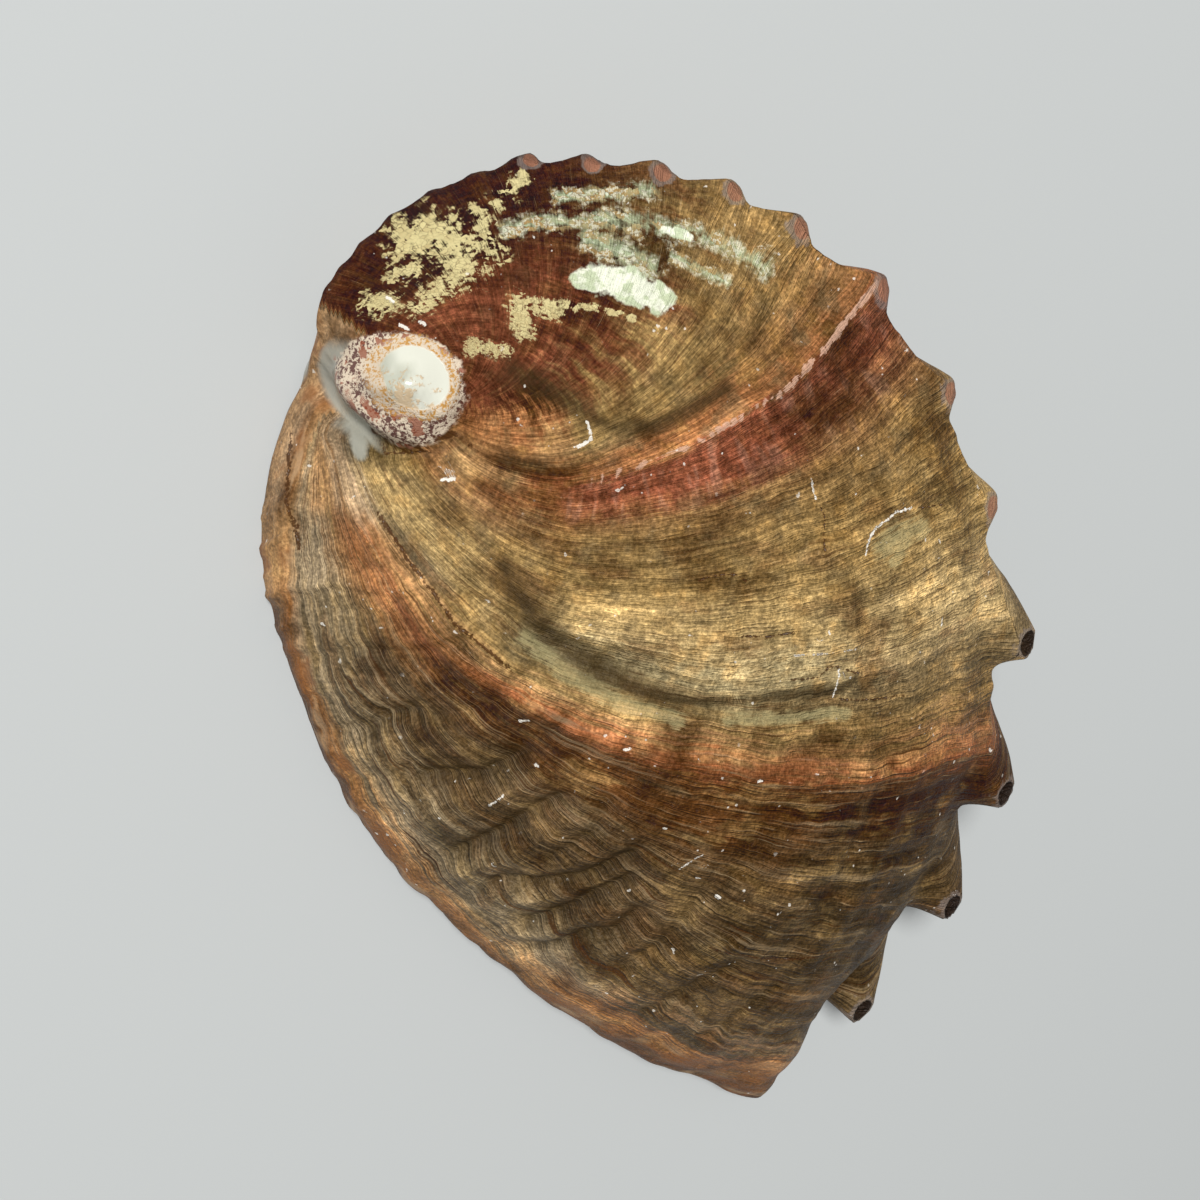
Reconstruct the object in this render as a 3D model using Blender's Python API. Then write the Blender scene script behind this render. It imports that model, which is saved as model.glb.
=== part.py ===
"""Disk abalone shell: one grown shell lying on its rim with the hollow side down.

Metres, +Z up.  The head end points to -Y and the row of holes lies on the +X side.  The origin
is the middle of the underside of the shell's box.  Angles are growth angles in degrees: they
are measured clockwise about the apex, as the shell grew, from the +X direction.
"""

import math

import bmesh
import bpy
import numpy as np
from mathutils import Vector

# Driving dimensions, in millimetres and degrees
MM = 0.001
APEX = (-25.27, 52.78)
MIDDLE = (-2.27, 3.78)
TOP_HEIGHT = 36.0
WALL_THICKNESS = 2.6
LIP_THICKNESS = 1.5
SHELF_WIDTH = 6.5

# The edge of the back: growth angle, distance from the apex, height, and how far the foot of
# the side wall stands out beyond it.  Up to 74 degrees it is the row of holes, then the beak,
# and from 82 degrees on the free outer lip
EDGE = (
    (-124, 14.9, 14.4, -3.4),
    (-105, 16.3, 15.3, -4.0),
    (-79, 20.0, 16.6, -3.4),
    (-63, 23.4, 17.8, -2.6),
    (-39, 30.6, 21.0, -1.4),
    (-20, 39.4, 24.3, 0.8),
    (0, 51.6, 27.6, 4.5),
    (22, 68.9, 28.5, 8.0),
    (44, 92.2, 25.0, 9.5),
    (56, 103.6, 20.5, 9.0),
    (67, 111.6, 15.5, 7.0),
    (74.3, 115.8, 8.6, 1.6),
    (76.2, 121.8, 5.4, 0.0),
    (78.4, 127.6, 4.3, -0.8),
    (80.5, 129.4, 4.0, -0.8),
    (83, 122.4, 2.6, -0.6),
    (88.5, 107.8, 1.6, -0.5),
    (97, 86.4, 1.6, -0.5),
    (110, 63.3, 1.6, -0.5),
    (129, 38.9, 1.6, -0.4),
    (145, 28.2, 1.8, -0.4),
    (160, 20.4, 2.4, -0.4),
    (178, 15.0, 3.6, -0.5),
    (198, 12.3, 5.6, -0.8),
    (217, 12.5, 9.4, -1.8),
    (236, 14.9, 14.4, -3.4),
)
# The rim rests on z = 0, apart from the beak and the stretch under the apex
RIM_LIFT = ((-124, 3.0), (-100, 1.6), (-75, 0.0), (74, 0.0), (78, 1.8), (80.5, 2.2), (84, 0.9),
            (90, 0.0), (150, 0.0), (178, 0.8), (200, 2.0), (236, 3.0))
FIRST_ANGLE = -124.0

# Holes of the row, newest first: growth angle, distance of the mouth from the apex, height,
# width of the mouth and reach of the tube.  The first four are open
HOLES = (
    (71.2, 123.4, 11.8, 5.2, 8.5),
    (61.2, 117.4, 17.4, 5.2, 8.5),
    (51.9, 108.4, 22.0, 5.2, 8.0),
    (40.2, 94.6, 26.0, 5.0, 7.5),
    (29.2, 79.2, 28.0, 4.2, 6.5),
    (17.8, 68.0, 28.9, 4.0, 6.0),
    (5.0, 57.6, 28.7, 3.8, 5.5),
    (-6.2, 48.4, 27.6, 3.4, 4.8),
    (-15.6, 42.6, 25.9, 3.2, 4.4),
    (-25.6, 36.7, 23.9, 3.0, 4.0),
    (-36.5, 31.6, 21.8, 2.7, 3.6),
    (-48.0, 28.5, 19.9, 2.4, 3.2),
)
OPEN_HOLES = 4
HOLE_WIDTH = 3.4
# Reach of a tube's foot backwards, forwards and sideways, as a share of the reach of the tube
OPEN_FOOT = (1.9, 0.65, 0.85)
SEALED_FOOT = (1.4, 0.75, 0.8)
# The older side of a tube rises to a plane that leans this share of a level plane's way out
TUBE_LEAN = 0.33
DRILL_OUTSIDE = 5.0
DRILL_SIDES = 10

# Growth lines leave the row of holes and close in on the apex by this much per degree
LINE_PITCH = 0.0255
LINE_STRAIGHT = 78.0
LINE_EASING = 45.0
# Courses of the two ridges: turn since the row of holes, and stage
RED_RIDGE = ((0, 4.5), (12, 4.4), (20, 3.4), (30, 3.6), (38, 4.6), (44, 6.4), (50, 8.2),
             (62, 9.5), (80, 10.0))
ORANGE_RIDGE = ((-6, 52.0), (0, 50.0), (6, 49.2), (15, 49.7), (22, 50.8), (33, 53.6),
                (40, 56.0), (46, 58.3), (60, 60.5), (75, 67.0), (85, 72.8), (92, 77.0))
RIDGE_HEIGHT = 0.9
RIDGE_WIDTH = 2.2
# Valleys of the wrinkles near the lip, as stage and turn, with depth
WRINKLES = (
    (0.9, ((74.4, 35.0), (68.5, 34.5), (62.1, 35.5))),
    (0.9, ((76.1, 28.3), (74.7, 27.9), (68.6, 29.5), (63.9, 30.2))),
    (0.5, ((70.0, 25.4), (64.0, 26.2), (60.0, 28.0))),
    (0.9, ((75.5, 24.6), (74.1, 23.3), (72.2, 22.6), (69.5, 22.5), (64.4, 22.7))),
    (0.9, ((76.3, 20.9), (74.7, 20.2), (71.0, 20.7), (67.1, 21.0))),
    (0.8, ((77.7, 19.2), (76.4, 18.7), (74.9, 18.1), (73.1, 17.2), (69.7, 18.3))),
    (0.5, ((73.5, 15.0), (69.4, 15.8), (65.0, 17.0))),
    (0.5, ((76.5, 12.0), (73.0, 11.2), (70.0, 11.0))),
    (0.4, ((76.0, 8.0), (73.0, 7.6), (70.5, 7.5))),
    (0.6, ((76.5, 40.5), (74.5, 41.5), (71.0, 42.0))),
)
WRINKLE_DEPTH = 1.2
WRINKLE_WIDTH = 2.4
TOP_PLACE = (-28.1, 54.8)
# Edge of the coiled top: growth angle about its middle, and distance
TOP_EDGE = ((-124, 7.0), (-68, 5.0), (-26, 5.2), (16, 5.7), (64, 6.7), (111, 8.2), (154, 7.0),
            (196, 7.1), (218, 7.0), (236, 7.0))

# Facets of the back and of the hollow side, which has half as many
HOLLOW_SEGMENTS = 30
BACK_SEGMENTS = 2 * HOLLOW_SEGMENTS

SHELL_COLOUR = (0.23, 0.13, 0.06, 1.0)
SHELL_ROUGHNESS = 0.45


def smooth_curve(x, table, column):
    """Reads a column of a table at x along a curve that never overshoots its points."""
    xs = np.array([row[0] for row in table], float)
    ys = np.array([row[column] for row in table], float)
    step = np.diff(xs)
    rise = np.diff(ys) / step
    slope = np.zeros(len(xs))
    slope[0], slope[-1] = rise[0], rise[-1]
    same_way = rise[:-1] * rise[1:] > 0
    before, after = 2 * step[1:] + step[:-1], step[1:] + 2 * step[:-1]
    safe = np.where(same_way, rise[:-1] * rise[1:], 1.0)
    mean = (before + after) * safe / (before * rise[1:] + after * rise[:-1] + (~same_way))
    slope[1:-1] = np.where(same_way, mean, 0.0)
    i = np.clip(np.searchsorted(xs, x) - 1, 0, len(xs) - 2)
    t = np.clip((x - xs[i]) / step[i], 0, 1)
    return (
        (1 + 2 * t) * (1 - t) ** 2 * ys[i]
        + t * (1 - t) ** 2 * step[i] * slope[i]
        + t * t * (3 - 2 * t) * ys[i + 1]
        + t * t * (t - 1) * step[i] * slope[i + 1]
    )


def ease(x, start, end):
    """0 up to start, 1 from end on, and an even S between them."""
    t = np.clip((x - start) / (end - start), 0, 1)
    return t * t * (3 - 2 * t)


def growth_angle(x, y):
    """Clockwise angle about the apex, from FIRST_ANGLE round to the same place."""
    angle = -np.degrees(np.arctan2(y - APEX[1], x - APEX[0]))
    return (angle - FIRST_ANGLE) % 360 + FIRST_ANGLE


class Loop:
    """A closed curve round the shell, read by the clockwise bearing about its middle."""

    def __init__(self, points):
        bearing = self.bearing(points[:, 0], points[:, 1])
        order = np.argsort(bearing)
        bearing, points = bearing[order], points[order]
        self.bearings = np.concatenate([bearing - 360, bearing, bearing + 360])
        self.points = np.concatenate([points] * 3)

    @staticmethod
    def bearing(x, y):
        return np.degrees(np.arctan2(MIDDLE[1] - y, x - MIDDLE[0]))

    def at(self, bearing):
        return np.stack(
            [np.interp(bearing, self.bearings, column) for column in self.points.T], axis=-1
        )

    def softened(self, waves):
        """The same curve with only its first few waves round the middle."""
        even = np.arange(0, 360, 0.5)
        spectrum = np.fft.rfft(self.at(even), axis=0)
        spectrum[waves + 1 :] = 0
        return Loop(np.fft.irfft(spectrum, n=len(even), axis=0))

    def drawn_in(self, width, drop):
        """The same curve moved towards the middle by a width and lowered by a drop."""
        to_middle = MIDDLE - self.points[:, :2]
        to_middle /= np.linalg.norm(to_middle, axis=1, keepdims=True)
        points = self.points.copy()
        points[:, :2] += to_middle * width[:, None]
        points[:, 2] -= drop
        return Loop(points[: len(points) // 3])


def edge_loops():
    """The edge of the back and the foot of the side wall."""
    angle = np.arange(FIRST_ANGLE, FIRST_ANGLE + 360, 0.125)
    reach = smooth_curve(angle, EDGE, 1)
    height = smooth_curve(angle, EDGE, 2)
    spread = smooth_curve(angle, EDGE, 3)
    lift = smooth_curve(angle, RIM_LIFT, 1)
    c, s = np.cos(np.radians(angle)), -np.sin(np.radians(angle))
    crest = np.stack([APEX[0] + reach * c, APEX[1] + reach * s, height], axis=-1)
    foot = np.stack(
        [APEX[0] + (reach + spread) * c, APEX[1] + (reach + spread) * s, lift], axis=-1
    )
    return Loop(crest), Loop(foot)


def shoulder(height):
    """How much of a side wall stands below an edge of this height: 0 at the lip, 1 at the row."""
    return ease(height, 2.0, 14.0)


CREST, FOOT = edge_loops()
TALL = shoulder(CREST.points[:, 2])
CREST_INSET = LIP_THICKNESS + (WALL_THICKNESS - LIP_THICKNESS) * TALL
INNER_CREST = CREST.drawn_in(CREST_INSET, WALL_THICKNESS * TALL)
RIM_WIDTH = LIP_THICKNESS + (SHELF_WIDTH - LIP_THICKNESS) * shoulder(CREST.at(FOOT.bearings)[:, 2])
INNER_FOOT = FOOT.drawn_in(RIM_WIDTH, 0)


def ring_and_bearing(u, v):
    """Turns a place on a square sheet, -1 to 1, into a ring 0 to 1 and a bearing."""
    wide = np.abs(u) >= np.abs(v)
    ring = np.where(wide, u, v)
    other = np.where(wide, v, u)
    turn = 45 * other / np.where(ring == 0, 1, ring)
    bearing = np.where(wide, turn, 90 - turn)
    return np.abs(ring), bearing + np.where(ring < 0, 180, 0)


def bump(distance, width):
    return np.exp(-((distance / width) ** 2))


def top_form(x, y):
    """The small coiled top, which stands proud of a groove on its newer side."""
    dx, dy = x - TOP_PLACE[0], y - TOP_PLACE[1]
    distance = np.hypot(dx, dy)
    angle = (-np.degrees(np.arctan2(dy, dx)) - FIRST_ANGLE) % 360 + FIRST_ANGLE
    edge = smooth_curve(angle, TOP_EDGE, 1)
    newer_side = ease(angle, 0, 60) * (1 - ease(angle, 185, 225))
    raised = (0.5 + 1.5 * newer_side) * (1 - ease(distance, edge - 1.8, edge + 0.2))
    cap = 1.5 * (1 - ease(distance, 1.0, 4.6)) + 0.5 * bump(distance, 2.2)
    groove = -1.2 * newer_side * bump(distance - edge - 0.9, 1.5)
    return raised + cap + groove


def smooth_form(crest, foot, top, ring, bearing, crowding):
    """A point of a dome inside its edge loop, then of the wall down to its foot.

    The dome's own outline fades from the exact edge to a soft one.  Crowding draws the rings
    towards the edge, where the tubes need them.  It also returns how far down the wall it is.
    """
    tall = shoulder(CREST.at(bearing)[..., 2])
    exact, below = crest.at(bearing), foot.at(bearing)
    split = 0.965 - 0.235 * tall
    share = 1 - (1 - np.clip(ring / split, 0, 1)) ** (1 + 0.25 * crowding)
    detail = (share**8)[..., None]
    edge = crest.softened(5).at(bearing) * (1 - detail) + exact * detail
    fullness = 0.62 + 0.38 * np.clip(edge[..., 2] / 30, 0, 1)
    dome = np.empty(edge.shape)
    dome[..., :2] = MIDDLE + share[..., None] * (edge[..., :2] - MIDDLE)
    dome[..., 2] = edge[..., 2] + (top - edge[..., 2]) * (1 - share**2.15) ** fullness
    down = np.clip((ring - split) / (1 - split), 0, 1) ** (1 + 0.5 * crowding * tall)
    outward = exact[..., :2] - MIDDLE
    outward /= np.linalg.norm(outward, axis=-1, keepdims=True)
    spread = ((below - exact)[..., :2] * outward).sum(axis=-1)
    belly = 0.24 * np.maximum(spread, 0) * tall * np.sin(math.pi * down) * (1 - 0.4 * down)
    wall = exact + (below - exact) * down[..., None]
    wall[..., :2] += outward * belly[..., None]
    return np.where((ring > split)[..., None], wall, dome), down


def row_reach(stage):
    """Logarithm of the distance from the apex to the row of holes at a stage of growth."""
    older = np.maximum(FIRST_ANGLE - stage, 0) * 0.01
    return np.log(smooth_curve(np.maximum(stage, FIRST_ANGLE), EDGE, 1)) - older


def line_fall(turned):
    """How far a growth line has closed in on the apex, in logarithms, after this turn."""
    past = np.maximum(turned - LINE_STRAIGHT, 0)
    fall = LINE_PITCH * np.minimum(turned, LINE_STRAIGHT)
    return fall + LINE_PITCH * LINE_EASING * (1 - np.exp(-past / LINE_EASING))


def growth_stage(x, y):
    """Growth angle at which the lip passed this place, found by halving."""
    angle = growth_angle(x, y)
    size = np.log(np.maximum(np.hypot(x - APEX[0], y - APEX[1]), 1.0))
    low, high = angle - 175, angle.copy()
    for _ in range(30):
        stage = 0.5 * (low + high)
        too_new = row_reach(stage) - line_fall(angle - stage) > size
        high = np.where(too_new, stage, high)
        low = np.where(too_new, low, stage)
    return stage


def growth_place(stage, turned):
    """The place in plan of a stage and a turn since the row of holes."""
    reach = np.exp(row_reach(np.asarray(stage, float)) - line_fall(np.asarray(turned, float)))
    angle = np.radians(np.add(stage, turned))
    return np.stack([APEX[0] + reach * np.cos(angle), APEX[1] - reach * np.sin(angle)], axis=-1)


def line_distance(x, y, line):
    """Distance in plan from each place to a line of points."""
    nearest = np.full(np.shape(x), np.inf)
    for start, end in zip(line[:-1], line[1:]):
        along = end - start
        length = max(float(along @ along), 1e-9)
        share = np.clip(((x - start[0]) * along[0] + (y - start[1]) * along[1]) / length, 0, 1)
        gap = np.hypot(x - start[0] - share * along[0], y - start[1] - share * along[1])
        nearest = np.minimum(nearest, gap)
    return nearest


def relief(x, y):
    """Height of the two ridges, the hollows before them, the wrinkles and the coiled top.

    It also returns how far the hollow side is lowered below the wrinkles and the second hollow.
    """
    stage = growth_stage(x, y)
    turned = growth_angle(x, y) - stage
    away = ease(np.hypot(x - APEX[0], y - APEX[1]), 8, 20)
    red = stage - smooth_curve(turned, RED_RIDGE, 1)
    orange = stage - smooth_curve(turned, ORANGE_RIDGE, 1)
    red_fade = 1 - ease(turned, 44, 56)
    height = RIDGE_HEIGHT * red_fade * bump(red, RIDGE_WIDTH)
    height -= (0.7 - 0.2 * red_fade) * bump(red + 8, 6)
    dip = ease(turned, 26, 36) * (1 - ease(turned, 50, 60))
    height += RIDGE_HEIGHT * bump(orange, RIDGE_WIDTH) + 0.6 * dip * bump(orange + 5.0, RIDGE_WIDTH)
    height -= (0.6 + 1.4 * dip) * bump(orange + 8.5 + 3.5 * dip, 4.5 - 1.4 * dip)
    wrinkles = np.zeros(np.shape(x))
    for depth, line in WRINKLES:
        gap = line_distance(x, y, [growth_place(*point) for point in line])
        wrinkles = np.maximum(wrinkles, depth * bump(gap, WRINKLE_WIDTH))
    lowered = 1.1 * wrinkles + 1.2 * dip * bump(orange + 12.0, 3.1)
    return (height - WRINKLE_DEPTH * wrinkles) * away + top_form(x, y), lowered


def sheet(name, segments):
    """A square sheet of faces, with the ring and bearing of each of its points."""
    mesh = bpy.data.meshes.new(name)
    bm = bmesh.new()
    bmesh.ops.create_grid(bm, x_segments=segments, y_segments=segments, size=1)
    bm.to_mesh(mesh)
    bm.free()
    places = np.empty(len(mesh.vertices) * 3, np.float32)
    mesh.vertices.foreach_get("co", places)
    u, v, _ = places.astype(float).reshape(-1, 3).T
    return mesh, *ring_and_bearing(u, -v)


def rim_order(ring, bearing):
    """Indexes of the outermost points of a sheet, in the order of their bearings."""
    outermost = np.flatnonzero(ring > 0.9999)
    return outermost[np.argsort(bearing[outermost])]


def place(mesh, points):
    mesh.vertices.foreach_set("co", np.ascontiguousarray(points, np.float32).ravel())
    mesh.update()


def normals(mesh):
    found = np.empty(len(mesh.vertices) * 3, np.float32)
    mesh.vertex_normals.foreach_get("vector", found)
    return found.astype(float).reshape(-1, 3)


def tube_frame(hole):
    """Mouth, axis, the way back along the row, the side and the mouth's own facing."""
    angle, reach, height, _, _ = hole
    turn = math.radians(angle)
    mouth = Vector((APEX[0] + reach * math.cos(turn), APEX[1] - reach * math.sin(turn), height))
    bearing = Loop.bearing(mouth.x, mouth.y)
    ahead = CREST.at(bearing + 4) - CREST.at(bearing - 4)
    along = Vector((ahead[0], ahead[1], 0)).normalized()
    outward = Vector((-along.y, along.x, 0))
    axis = (outward + 0.35 * along + 0.55 * Vector((0, 0, 1))).normalized()
    back = -(along - along.project(axis)).normalized()
    side = axis.cross(back)
    look = (0.40 * outward + 0.15 * along + 0.8 * Vector((0, 0, 1))).normalized()
    return mouth, axis, back, side, look


def raise_tube(points, hole, sealed):
    """Draws the shoulder out into a short tube, its mouth cut aslant where it is open."""
    _, _, _, width, reach = hole
    mouth, axis, back, side, look = (np.array(v) for v in tube_frame(hole))
    from_mouth = points - mouth
    lengthways = from_mouth @ back
    crossways = from_mouth @ side
    spread = np.hypot(lengthways, crossways)
    toward_back = np.where(spread > 0, lengthways / np.maximum(spread, 1e-6), 0)
    near = np.abs(from_mouth @ axis) < 2.2 * reach
    # A slightly tilted plane that the older side of the tube rises to
    above = np.array([TUBE_LEAN * axis[0], TUBE_LEAN * axis[1], np.hypot(axis[0], axis[1])])
    backwards, forwards, sideways = SEALED_FOOT if sealed else OPEN_FOOT
    foot = np.where(toward_back > 0, backwards, forwards) * reach * np.abs(toward_back)
    foot = np.hypot(foot, sideways * reach * np.sqrt(1 - toward_back**2))
    if sealed:
        rise = (1 - np.clip(spread / foot, 0, 1) ** 2) ** 3
        gap = -(from_mouth @ above) / float(axis @ above)
    else:
        # The tube runs far back along the row, and its mouth is cut aslant from the back edge
        fade = np.clip((spread - width / 2) / np.maximum(foot - width / 2, 0.5), 0, 1)
        rise = (1 - fade) ** (1.9 - 0.7 * np.maximum(toward_back, 0))
        from_back = from_mouth - back * width / 2
        gap = -(from_back @ above) / float(axis @ above)
        gap = np.minimum(gap, -(from_back @ look) / float(axis @ look))
    lift = rise * np.maximum(gap, 0)
    return points + axis * np.where(near, lift, 0)[:, None]


def back_mesh():
    mesh, ring, bearing = sheet("back", BACK_SEGMENTS)
    points, down = smooth_form(CREST, FOOT, TOP_HEIGHT, ring, bearing, 1)
    place(mesh, points)
    swell, _ = relief(points[:, 0], points[:, 1])
    swell *= (1 - ease(ring, 0.93, 1.0)) * (1 - down)
    points = points + normals(mesh) * swell[:, None]
    for number, hole in enumerate(HOLES):
        points = raise_tube(points, hole, number >= OPEN_HOLES)
    place(mesh, points)
    return mesh, rim_order(ring, bearing)


def hollow_mesh():
    """The inside, one wall thickness in, with the wider shelf along the row of holes."""
    mesh, ring, bearing = sheet("hollow", HOLLOW_SEGMENTS)
    top = TOP_HEIGHT - WALL_THICKNESS
    points, _ = smooth_form(INNER_CREST, INNER_FOOT, top, ring, bearing, 0)
    _, lowered = relief(points[:, 0], points[:, 1])
    points[:, 2] -= lowered * (1 - ease(ring, 0.88, 0.98))
    place(mesh, points)
    return mesh, rim_order(ring, bearing)


def build_shell(collection):
    """Back and hollow side joined round the rim into one solid."""
    bm = bmesh.new()
    rims = []
    for mesh, rim in (back_mesh(), hollow_mesh()):
        start = len(bm.verts)
        bm.from_mesh(mesh)
        bm.verts.ensure_lookup_table()
        rims.append([bm.verts[start + index] for index in rim])
        bpy.data.meshes.remove(mesh)
    outer, inner = rims
    for i, here in enumerate(inner):
        there = inner[(i + 1) % len(inner)]
        first, second = outer[2 * i], outer[2 * i + 1]
        third = outer[(2 * i + 2) % len(outer)]
        bm.faces.new((here, first, second))
        bm.faces.new((here, second, there))
        bm.faces.new((there, second, third))
    bmesh.ops.scale(bm, vec=(MM, MM, MM), verts=bm.verts)
    bmesh.ops.triangulate(bm, faces=bm.faces)
    bmesh.ops.recalc_face_normals(bm, faces=bm.faces)
    mesh = bpy.data.meshes.new("shell")
    bm.to_mesh(mesh)
    bm.free()
    shell = bpy.data.objects.new("shell", mesh)
    collection.objects.link(shell)
    return shell


def drill(hole, collection, name):
    """A cutter down the middle of a tube, from outside its mouth into the hollow."""
    mouth, axis, _, _, _ = tube_frame(hole)
    length = 2.0 * (hole[4] + DRILL_OUTSIDE)
    middle = mouth + axis * (DRILL_OUTSIDE - length / 2)
    bpy.ops.mesh.primitive_cylinder_add(
        vertices=DRILL_SIDES, radius=HOLE_WIDTH / 2 * MM, depth=length * MM, location=middle * MM
    )
    cutter = bpy.context.object
    cutter.name = name
    cutter.rotation_euler = axis.to_track_quat("Z", "Y").to_euler()
    cutter.hide_render = True
    cutter.display_type = "WIRE"
    for owner in cutter.users_collection:
        owner.objects.unlink(cutter)
    collection.objects.link(cutter)
    return cutter


def shell_material():
    material = bpy.data.materials.new("shell_outside")
    material.use_nodes = True
    surface = material.node_tree.nodes["Principled BSDF"]
    surface.inputs["Base Color"].default_value = SHELL_COLOUR
    surface.inputs["Roughness"].default_value = SHELL_ROUGHNESS
    surface.inputs["Metallic"].default_value = 0.0
    return material


def new_collection(name):
    collection = bpy.data.collections.new(name)
    bpy.context.scene.collection.children.link(collection)
    return collection


for existing in list(bpy.data.objects):
    bpy.data.objects.remove(existing)

parts = new_collection("disk_abalone_shell")
cutters = new_collection("cutters")
shell = build_shell(parts)
shell.data.materials.append(shell_material())
shell.data.shade_smooth()
for number, hole in enumerate(HOLES[:OPEN_HOLES], start=1):
    cut = shell.modifiers.new(f"hole_{number}", "BOOLEAN")
    cut.operation = "DIFFERENCE"
    cut.object = drill(hole, cutters, f"drill_{number}")
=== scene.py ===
"""Disk abalone shell lying on its rim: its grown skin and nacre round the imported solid."""

import math

import bmesh
import bpy
import numpy as np
from mathutils import Matrix, Vector
from mathutils.kdtree import KDTree


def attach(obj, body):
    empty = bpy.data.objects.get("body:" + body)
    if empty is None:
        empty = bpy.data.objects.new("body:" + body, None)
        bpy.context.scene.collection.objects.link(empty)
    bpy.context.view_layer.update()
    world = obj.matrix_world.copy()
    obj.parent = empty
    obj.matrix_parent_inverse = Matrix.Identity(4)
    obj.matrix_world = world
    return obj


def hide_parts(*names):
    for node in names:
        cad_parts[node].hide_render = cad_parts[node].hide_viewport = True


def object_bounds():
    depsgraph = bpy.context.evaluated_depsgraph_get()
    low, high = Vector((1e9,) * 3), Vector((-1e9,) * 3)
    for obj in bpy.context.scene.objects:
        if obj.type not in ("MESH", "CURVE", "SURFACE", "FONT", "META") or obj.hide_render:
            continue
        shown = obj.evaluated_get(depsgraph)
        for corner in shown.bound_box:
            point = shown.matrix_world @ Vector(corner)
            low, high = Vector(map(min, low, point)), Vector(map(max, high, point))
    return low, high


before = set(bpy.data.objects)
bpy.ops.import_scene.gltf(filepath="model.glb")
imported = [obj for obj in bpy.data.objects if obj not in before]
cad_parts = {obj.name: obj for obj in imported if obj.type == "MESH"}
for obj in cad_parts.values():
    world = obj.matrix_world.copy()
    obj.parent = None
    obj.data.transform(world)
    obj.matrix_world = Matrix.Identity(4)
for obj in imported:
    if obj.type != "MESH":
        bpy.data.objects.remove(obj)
cad_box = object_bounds()

# Camera
# It looks down on the back from over the lip side, turned so that the head end points down the
# picture and the row of holes runs along the right.
CAMERA_PLACE = (-0.06493, 0.07084, 0.16005)
CAMERA_RIGHT = Vector((0.8726, -0.2563, 0.4158))
CAMERA_DOWN = Vector((-0.3597, -0.9131, 0.1918))
SENSOR = 36.0
LENS = 37.32

optics = bpy.data.cameras.new("camera")
optics.sensor_width = SENSOR
optics.lens = LENS
optics.clip_start = 0.005
camera = bpy.data.objects.new("camera", optics)
facing = Matrix((CAMERA_RIGHT, -CAMERA_DOWN, -CAMERA_RIGHT.cross(CAMERA_DOWN))).transposed()
camera.matrix_world = Matrix.Translation(CAMERA_PLACE) @ facing.to_4x4()
bpy.context.scene.collection.objects.link(camera)
bpy.context.scene.camera = camera

# Form of the shell
# The shell is one grown piece of lime: a low dome inside the row of holes and the outer lip,
# and a side wall that drops from the row to the rim. Sizes are in millimetres, and growth
# angles in degrees run clockwise about the apex, as the shell grew.
MM = 0.001
APEX = (-25.27, 52.78)
MIDDLE = (-2.27, 3.78)
TOP_HEIGHT = 36.0
WALL_THICKNESS = 2.6
LIP_THICKNESS = 1.5
SHELF_WIDTH = 6.5
FIRST_ANGLE = -124.0
# Growth angle, distance of the edge of the back from the apex, its height, and how far the
# foot of the wall stands out beyond it
EDGE = (
    (-124, 14.9, 14.4, -3.4),
    (-105, 16.3, 15.3, -4.0),
    (-79, 20.0, 16.6, -3.4),
    (-63, 23.4, 17.8, -2.6),
    (-39, 30.6, 21.0, -1.4),
    (-20, 39.4, 24.3, 0.8),
    (0, 51.6, 27.6, 4.5),
    (22, 68.9, 28.5, 8.0),
    (44, 92.2, 25.0, 9.5),
    (56, 103.6, 20.5, 9.0),
    (67, 111.6, 15.5, 7.0),
    (74.3, 115.8, 8.6, 1.6),
    (76.2, 121.8, 5.4, 0.0),
    (78.4, 127.6, 4.3, -0.8),
    (80.5, 129.4, 4.0, -0.8),
    (83, 122.4, 2.6, -0.6),
    (88.5, 107.8, 1.6, -0.5),
    (97, 86.4, 1.6, -0.5),
    (110, 63.3, 1.6, -0.5),
    (129, 38.9, 1.6, -0.4),
    (145, 28.2, 1.8, -0.4),
    (160, 20.4, 2.4, -0.4),
    (178, 15.0, 3.6, -0.5),
    (198, 12.3, 5.6, -0.8),
    (217, 12.5, 9.4, -1.8),
    (236, 14.9, 14.4, -3.4),
)
RIM_LIFT = ((-124, 3.0), (-100, 1.6), (-75, 0.0), (74, 0.0), (78, 1.8), (80.5, 2.2), (84, 0.9),
            (90, 0.0), (150, 0.0), (178, 0.8), (200, 2.0), (236, 3.0))
# Growth lines leave the row of holes and close in on the apex by this much per degree
LINE_PITCH = 0.0255
LINE_STRAIGHT = 78.0
LINE_EASING = 45.0
LAST_STAGE = 80.0
RIM_STAGES = 2.0
# Cells of the skin: the hollow side has a third as many as the back
HOLLOW_SEGMENTS = 96
BACK_SEGMENTS = 3 * HOLLOW_SEGMENTS
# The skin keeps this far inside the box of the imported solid
BOX_GAP = 0.01


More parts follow.
